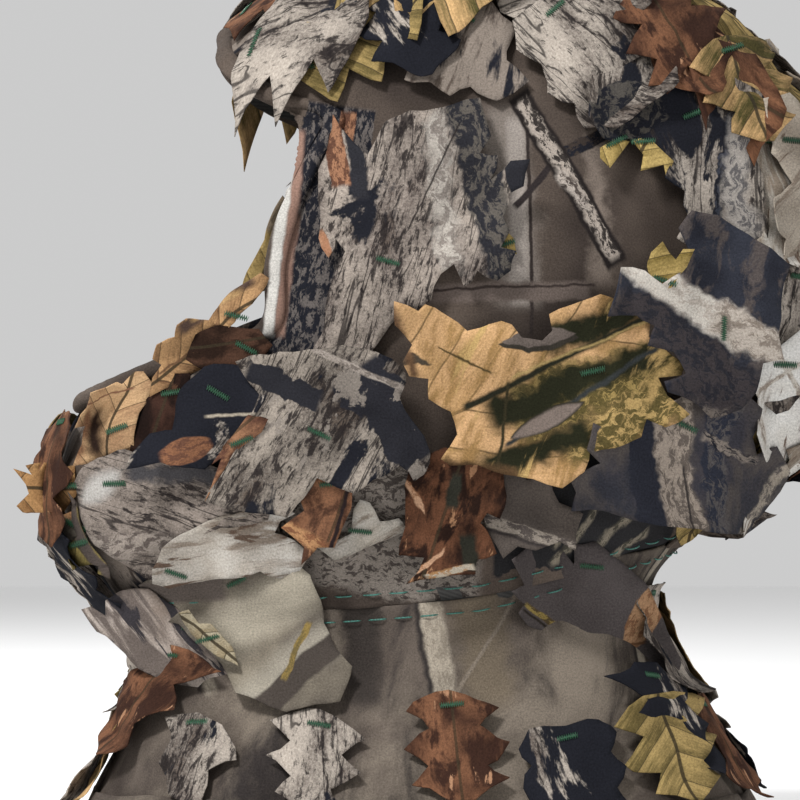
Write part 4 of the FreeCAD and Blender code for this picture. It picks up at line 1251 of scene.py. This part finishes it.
leaf("ear_navy_leaf", [(62, 41), (60, 33), (58, 27), (68, 27), (74, 24), (72, 18), (80, 16), (84, 10),
     (77, 8), (78, 5), (86, 2), (92, -3), (100, 0), (104, 5), (106, 13), (113, 14), (111, 22),
     (113, 34), (114, 42), (108, 47), (102, 51), (92, 56), (84, 57), (81, 52), (84, 46), (82, 40),
     (76, 36), (70, 40), (66, 41)], ear_navy_print, 12.0, rolls=[(70, 20, 12, 30), (170, 16, 14, 25)],
     tack=(95, 23, 88), crumple=1.2, tooth=0.4, body="ear_navy_leaf_body", bend=((101, 26), (92, 26)),
     seed=20)
small_gold = cloth_material("small_gold", 21.5, vein_print(60, 70, 70, (0.66, 0.48, 0.18),
                                                           (0.28, 0.2, 0.06), VEIN, 0.7))
leaf("small_gold_leaf_a", [(61, 77), (61, 74), (64, 71), (67, 75), (70, 79), (66, 80)], small_gold,
     5.0, tack=(66, 79), seed=21, tooth=0.3, nodes=["left_small_leaves"])
leaf("small_gold_leaf_b", [(71, 79), (73, 80), (77, 79), (80, 76), (83, 73), (81, 68), (80, 72),
     (77, 71), (73, 70), (74, 75)], small_gold, 5.2, tack=(74, 79), seed=22, tooth=0.3)
leaf("small_gold_leaf_c", [(74, 35), (72, 41), (73, 45), (76, 48), (78, 45), (80, 43), (82, 46),
     (85, 46), (83, 41), (79, 35), (76, 34)], small_gold, 14.0, tack=(77, 37), seed=23, tooth=0.3,
     body="ear_navy_leaf_body")
leaf("small_gold_leaf_d", [(31, 46), (33, 52), (35, 50), (36, 45), (34, 46)], small_gold, 3.0,
     tack=(32, 48), seed=24, tooth=0.0)


def drape_twig_print(p):
    p.plain((0.115, 0.098, 0.096), (0.082, 0.069, 0.066), 3.0)
    p.bands([(39, -64, 70, -86, 2.2, (0.32, 0.235, 0.075), (0.1, 0.07, 0.035), 0.04, 0.03, 0.3),
             (38, -65.6, 69, -87.6, 0.8, (0.035, 0.028, 0.022), None, 0.03),
             (83, -60, 73, -78, 10, (0.46, 0.27, 0.15), (0.26, 0.13, 0.07), 0.1, 0.03, 0.5),
             (68, -78, 78, -77, 0.9, (0.16, 0.08, 0.04), None, 0.08)])


leaf("drape_twig_leaf", [(34, -50), (40, -46), (46, -43), (49, -44), (53, -50), (54, -44), (60, -43),
     (66, -48), (78, -58), (84, -70), (90, -84), (86, -96), (64, -98), (58, -84), (50, -74), (40, -71),
     (36, -67), (39, -64), (33, -60), (39, -58)], drape_twig_print, 4.5, rolls=[(190, 16, 8, 50)],
     tack=(58, -50), free=(52, -0.75, 0.25), seed=25, tooth=0.4, crumple=1.5)
leaf("drape_bark_leaf", [(-62, -100), (-54, -104), (-50, -114), (-58, -118), (-60, -128), (-70, -126),
     (-74, -116), (-70, -110), (-72, -102)], cloth_material("drape_bark", 26.0,
     bark_print(70, 0.3, 0.17)), 3.0, tack=(-62, -103), seed=35, crumple=1.2)


# Leaves that stand off the front: over the nose bridge, at the nose tip and at the chin.
# Painted shade: these two brown leaves have prints far darker than the other rust leaves, standing for
# the shadow they lie in behind the leaves over them.
leaf("cheek_dark_leaf", [(-64, 12), (-61, 20), (-55, 23), (-42, 22), (-38, 17), (-42, 12), (-50, 9),
     (-57, 8)], flame_print(10, -60, 16, (0.03, 0.016, 0.011), (0.1, 0.05, 0.032), (0.16, 0.09, 0.05)),
     4.0, tack=(-46, 16), seed=26, tooth=0.4)
leaf("cheek_dark_fold", [(-80, 3), (-70, 8), (-64, 8), (-66, -2), (-67, -10), (-74, -13), (-78, -21),
     (-83, -16)], flame_print(70, -76, -10, (0.018, 0.01, 0.008), (0.07, 0.033, 0.023),
     (0.1, 0.05, 0.03)), 2.4, tack=(-70, 2), seed=27, tooth=0.3)


def cheek_gold_extra(p):
    p.bands([(-70, 23, -46, 38, 5.0, (0.15, 0.095, 0.075), None, 0.1, 0.12),
             (-76, 8, -56, 24, 0.8, (0.2, 0.11, 0.06), None, 0.1),
             (-66, 26, -48, 34, 2.5, (0.6, 0.38, 0.18), None, 0.1, 0.08)])


leaf("cheek_gold_leaf", [(-77, 18), (-71, 20), (-71, 25), (-68, 27), (-60, 25), (-55, 29), (-49, 36),
     (-44, 40), (-41, 38), (-44, 30), (-49, 24), (-53, 21), (-57, 23), (-60, 20), (-56, 17), (-54, 15),
     (-60, 11), (-66, 8), (-73, 4), (-79, 1), (-78, 7), (-75, 11), (-78, 13)],
     vein_print(38, -76, 6, (0.62, 0.37, 0.18), (0.2, 0.105, 0.055), VEIN, 0.9, cheek_gold_extra,
     shade=0.35), 6.0, rolls=[(125, 2, 9, 100)], tack=(-48, 26), free=(66, 0.35, 0.2),
     body="cheek_gold_leaf_body", seed=28, tooth=0.5)


def nose_tan_marks_and_shade(p):
    # The first band is painted shade: the dark hollow under the leaf's curl. The other two bands are
    # print.
    p.bands([(-96, -2, -95, -19, 8, (0.035, 0.02, 0.014), None, 0.25, 0.3, 0.6),
             (-104, 0, -84, 4, 0.7, (0.26, 0.13, 0.08), None, 0.15),
             (-103, -18, -100, -2, 3, (0.22, 0.11, 0.06), None, 0.2, 0.15)])


leaf("nose_tan_leaf", [(-101, 5), (-94, 5), (-90, 6), (-88, 5), (-84, 9), (-81, 9), (-78, 5),
     (-80, -2), (-81, -9), (-82, -16), (-86, -18), (-91, -18), (-96, -20), (-104, -21), (-101, -14),
     (-100, -8), (-104, -8), (-103, -3), (-101, -1)], vein_print(75, -90, -12, (0.68, 0.44, 0.24),
     (0.36, 0.2, 0.11), VEIN, 0.8, nose_tan_marks_and_shade, shade=0.3), 5.0,
     rolls=[(140, 6, 9, 60), (0, 6, 8, 40)], tack=(-86, -10), free=(44, 0.5, 0.1),
     body="nose_tan_leaf_body", seed=29, tooth=0.5)
leaf("nose_tip_ochre_leaf", [(-124, -22), (-118, -24), (-120, -21), (-115, -20), (-116, -23),
     (-114, -20), (-107, -22), (-102, -21), (-101, -30), (-107, -36), (-113, -34), (-114, -36),
     (-121, -36), (-123, -34), (-119, -30), (-120, -27)], vein_print(0, -124, -28, (0.5, 0.28, 0.12),
     (0.24, 0.12, 0.05), VEIN, 0.9, lambda p: p.band([(-114, -34), (-104, -20)], 1.2, VEIN),
     shade=0.35), 3.0, rolls=[(100, 6, 8, 40)], tack=(-103, -27), free=(18, 0.25, 0.0), seed=30,
     tooth=0.3)


def chin_grey_print(p):
    p.plain((0.28, 0.235, 0.19), (0.14, 0.12, 0.095), 1.5)
    p.band([(-114, -34), (-102, -36)], 4, (0.50, 0.27, 0.13), ragged=0.2, soft=0.1)


leaf("chin_grey_leaf", [(-113, -34), (-108, -37), (-103, -35), (-98, -40), (-99, -43), (-105, -45),
     (-110, -44), (-108, -41)], chin_grey_print, 3.0, rolls=[(120, 3, 5, 50)], tack=(-101, -39),
     free=(26, 0.35, 0.0), seed=31, tooth=0.3)
leaf("chin_khaki_leaf", [(-106, -29), (-101, -35), (-97, -43), (-93, -51), (-92, -57), (-96, -55),
     (-95, -52), (-97, -51), (-102, -52), (-104, -54), (-105, -50), (-104, -45), (-100, -42),
     (-103, -36)], vein_print(-60, -104, -38, (0.34, 0.26, 0.09), (0.15, 0.12, 0.045), VEIN, 0.7,
     lambda p: p.band([(-106, -29), (-92, -57)], 3.4, (0.1, 0.08, 0.07), soft=0.06)), 4.0,
     rolls=[(30, 4, 6, 50)], tack=(-100, -44), free=(32, 0.3, 0.0), body="chin_khaki_leaf_body",
     seed=32, tooth=0.3)

# Two leaves of the far side show past the edge of the eye opening.
leaf("right_brow_khaki_leaf", [(-39, 68), (-37, 66), (-33, 68), (-30, 60), (-33, 50), (-38, 44),
     (-40, 38), (-46, 36), (-54, 33), (-52, 40), (-48, 48), (-44, 57), (-41, 64)],
     vein_print(66, -48, 36, (0.56, 0.4, 0.16), (0.24, 0.165, 0.06), VEIN, 1.0,
     lambda p: p.band([(-40, 72), (-43, 56)], 8, (0.3, 0.23, 0.16), soft=0.1)), 5.0,
     rolls=[(160, 8, 9, 25)], tack=(-34, 58), free=(72, 0.25, 0.1), side=-1,
     body="brow_khaki_leaf_body", seed=33, tooth=0.5)
leaf("right_brow_cream_leaf", [(-22, 88), (-27, 80), (-32, 76), (-38, 70.5), (-35, 72.5), (-33, 70),
     (-28, 74), (-20, 82), (-14, 90), (-16, 94)], birch_print(50, light=(0.46, 0.38, 0.29),
     middle=(0.28, 0.22, 0.17)), 4.0, tack=(-18, 86), free=(64, 0.3, 0.1), side=-1, seed=34, tooth=0.3)

# The wearer's right is dressed in the same way, with each leaf cut from another part of the print.
# Each group of nodes has its pairs: the leaf it repeats, and the leaf that gives the print.
RIGHT_SIDE = {
    "crown": "crown_twig temple_bark, temple_bark back_trunk, back_trunk cheekbone_bark",
    "nape": "back_cream drape_twig, nape_bark cheek_bark, nape_white jaw_rust, ear_navy temple_bark",
    "cheek": "cheek_bark chin_cream, cheekbone_bark back_trunk, cheek_rust nape_bark, "
             "cheek_navy temple_gold, cheek_dark jaw_rust",
    "jaw": "jaw_branch cheek_rust, jaw_rust temple_bark, chin_cream nape_bark, temple_gold ear_navy, "
           "jaw_white back_cream",
    "drape": "drape_twig jaw_rust, throat_bark cheek_bark, throat_khaki chin_cream, "
             "drape_cream drape_twig, drape_bark temple_gold",
}
SHIFT_BACK, SHIFT_UP = 2.5, -1.5        # the right side's leaves lie a little off their twins
right_seed = 101
for group, pairs in RIGHT_SIDE.items():
    for k, pair in enumerate(pairs.split(", ")):
        twin, print_from = (word + "_leaf" for word in pair.split())
        made = dict(leaves[twin], seed=right_seed, side=-1)
        made["nodes"] = [f"right_{group}_leaves"] if k == 0 else []
        made["corners"] = [(y + SHIFT_BACK, z + SHIFT_UP) for y, z in made["corners"]]
        made["tack"] = (made["tack"][0] + SHIFT_BACK, made["tack"][1] + SHIFT_UP, *made["tack"][2:])
        made["material"] = leaves[print_from]["material"]
        leaf("right_" + twin, **made)
        right_seed += 1

# ---- Leaves of the crown, back and drape ------------------------------------------------
# The same laser-cut leaves go on over the top and back of the head and round the drape. Each is
# oak, maple or a torn patch in outline, with its print laid along it.
PROFILES = {
    "oak": (0.14, 0.44, 0.24, 0.50, 0.28, 0.46, 0.20, 0.05),
    "maple": (0.16, 0.50, 0.26, 0.50, 0.20, 0.34, 0.06),
    "patch": (0.36, 0.50, 0.40, 0.52, 0.40, 0.48, 0.30),
}


def shaped(kind, u, v, direction, length, width):
    """Corners of a leaf from its tack (u, v): half-widths of its profile, out and back."""
    halves = np.array(PROFILES[kind])
    along = np.linspace(0, length, len(halves))
    back = along[::-1] - 0.04 * length
    local = np.concatenate([np.column_stack([along, halves * width]),
                            np.column_stack([back, -halves[::-1] * width])])
    c, d = math.cos(math.radians(direction)), math.sin(math.radians(direction))
    return local @ np.array([[c, d], [-d, c]]) + [u, v]


LEAF_LAYERS = {
    "gold": vein_print(0, 0, 0, (0.74, 0.47, 0.22), (0.1, 0.085, 0.03), (0.06, 0.048, 0.03), 1.1),
    "rust": flame_print(0, 0, 0, (0.055, 0.026, 0.018), (0.26, 0.12, 0.065), (0.48, 0.26, 0.15)),
    "bark": bark_print(8, 0.2, 0.17),
    "navy": bark_print(12, 0.75, 0.17),
    "birch": birch_print(10),
    "khaki": vein_print(0, 0, 0, (0.56, 0.4, 0.16), (0.16, 0.12, 0.045), VEIN, 0.9),
}
leaf_prints = {name: cloth_material("leaf_" + name, 41.5 + k, layers)
               for k, (name, layers) in enumerate(LEAF_LAYERS.items())}
# Rows: place (for the top x, y; for the side y, z; for the back and front x, z), direction,
# length, width, outline, print on the left and on the right, height.
LEAF_TABLES = [
    ("crown", "top", "crown_leaves", [
        (10, -50, 70, 48, 38, "oak", "rust", "bark", 3.5),
        (38, -46, 62, 44, 34, "maple", "bark", "gold", 5),
        (4, -12, 96, 52, 40, "patch", "navy", "birch", 3.5),
        (36, -10, 70, 50, 38, "oak", "gold", "navy", 6),
        (8, 36, 84, 52, 40, "maple", "birch", "rust", 5.5),
        (42, 30, 104, 48, 38, "patch", "bark", "khaki", 4),
        (12, 84, 88, 46, 38, "oak", "khaki", "bark", 4.5),
        (44, 74, 96, 42, 34, "maple", "rust", "navy", 6)]),
    ("crown_side", "side", "", [
        (-30, 104, 24, 44, 32, "maple", "khaki", "rust", 4),
        (46, 122, -50, 46, 36, "patch", "bark", "navy", 5),
        (76, 126, -62, 40, 34, "oak", "rust", "bark", 6.5),
        (100, 110, -70, 34, 30, "maple", "gold", "birch", 7),
        (-2, 128, -70, 34, 30, "oak", "navy", "gold", 6)]),
    ("back", "back", "back_leaves", [
        (14, 92, -80, 46, 38, "oak", "bark", "khaki", 4),
        (44, 84, -86, 44, 36, "maple", "birch", "rust", 3),
        (16, 52, -94, 46, 40, "patch", "navy", "bark", 3),
        (42, 42, -84, 46, 36, "oak", "bark", "rust", 2.5),
        (14, 8, -86, 44, 36, "maple", "birch", "navy", 5),
        (42, -2, -96, 40, 34, "oak", "khaki", "bark", 3.5),
        (16, -58, -88, 40, 36, "patch", "bark", "gold", 3),
        (14, -96, -84, 36, 32, "oak", "rust", "navy", 3.5),
        (42, -86, -80, 38, 30, "maple", "navy", "khaki", 4)]),
    ("drape_side", "side", "", [
        (-24, -100, -98, 32, 30, "maple", "bark", "rust", 3),
        (16, -94, -84, 38, 32, "oak", "rust", "navy", 3.5),
        (50, -104, -78, 32, 30, "patch", "navy", "gold", 3),
        (78, -96, -74, 36, 30, "maple", "khaki", "birch", 4.5)]),
    ("front", "front", "", [
        (8, -66, -80, 40, 32, "oak", "bark", "khaki", 4),
        (30, -78, -100, 40, 34, "maple", "rust", "navy", 5.5),
        (6, -100, -92, 34, 30, "patch", "gold", "bark", 3),
        (14, -6, -84, 38, 28, "maple", "rust", "gold", 5),
        (12, -38, -88, 32, 28, "oak", "navy", "bark", 6.5)]),
]
TACK_IN = 3                      # from a leaf's end to its tack, in millimetres
ROLL_FROM, ROLL_RADIUS, ROLL_MOST = 0.62, 16, 40        # its far end rolls up past this share
seed = 201
for part, view, node, rows in LEAF_TABLES:
    for side, name in ((1, "left"), (-1, "right")):
        for k, (u, v, way, length, width, kind, left_print, right_print, height) in enumerate(rows):
            if side < 0:
                way, u, v, height = way + 9, u + 3, v - 2, height + 2
            turn = math.radians(way)
            leaf(f"{name}_{part}_leaf_{k + 1}", shaped(kind, u, v, way, length, width),
                 leaf_prints[left_print if side > 0 else right_print], height,
                 rolls=[(way, ROLL_FROM * length, ROLL_RADIUS, ROLL_MOST)],
                 tack=(u + TACK_IN * math.cos(turn), v + TACK_IN * math.sin(turn), way + 90), side=side,
                 view=view, seed=seed, frame_at=(u, v, way), crumple=1.3,
                 nodes=[node] if node and side > 0 and k == 0 else [])
            seed += 1

# ---- Bar-tacks --------------------------------------------------------------------------
# Each leaf is held by one dense zigzag of dark green polyester thread.
tack_thread = thread_material("dark_green_thread", (0.012, 0.085, 0.035))
TACK_THREAD = 0.20 * MM
for (side, body, bend), paths in tacks.items():
    word = "left" if side > 0 else "right"
    of_body = body.replace("_leaf_body", "")
    thread = thread_tubes(f"{word}_{of_body}_tack_thread", paths, TACK_THREAD, tack_thread, sides=5)
    if bend:
        start, end = (beside(np.array(y * MM), np.array(z * MM)) for y, z in bend)
        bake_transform(thread)
    else:
        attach(thread, body)
    if body == "root":
        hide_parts(word + "_bar_tacks")
    elif f"{word}_{of_body}_tack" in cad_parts:
        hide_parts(f"{word}_{of_body}_tack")

# ---- Elastics, casing and seam tapes ----------------------------------------------------
# Inside the hood: knitted elastics at the neck and eye opening, the neck casing of the base
# cloth and herringbone tapes over the seams.


def woven_material(name, colour, ribs, roughness):
    """Narrow woven goods: fine ribs along the height and specks of yarn."""
    def pattern(place):
        x, y, z = (place.node("SeparateXYZ", inputs={0: place}, output=k) for k in range(3))
        rib = (z * ribs + (x + y) * (ribs * 0.35)).part()
        return (rib - 0.5).size() * 2 * 0.55 + noise(place, 1500.0, 2.0) * 0.6
    return yarn_material(name, colour, pattern, 0.45, (0.25, 0.75), (0.5, 0.0003), roughness)


elastic_knit = woven_material("elastic_knit", (0.05, 0.048, 0.045), 700, 0.75)
seam_tape = woven_material("seam_tape", (0.11, 0.095, 0.08), 500, 0.85)
for material, names in ((elastic_knit, ("neck_elastic", "eye_opening_elastic")),
                        (seam_tape, ("neck_casing", "chin_seam_tape", "left_crown_seam_tape",
                                     "right_crown_seam_tape"))):
    for node in names:
        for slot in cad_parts[node].material_slots:
            slot.material = material

# ---- Sheets -----------------------------------------------------------------------------
# Each side's base panels are looked up here; no flat cut, size or sewn-on part is worked out for them.
for side in ("left", "right"):
    base[side + "_hood"]
    base[side + "_cheek"]
    base[side + "_drape"]
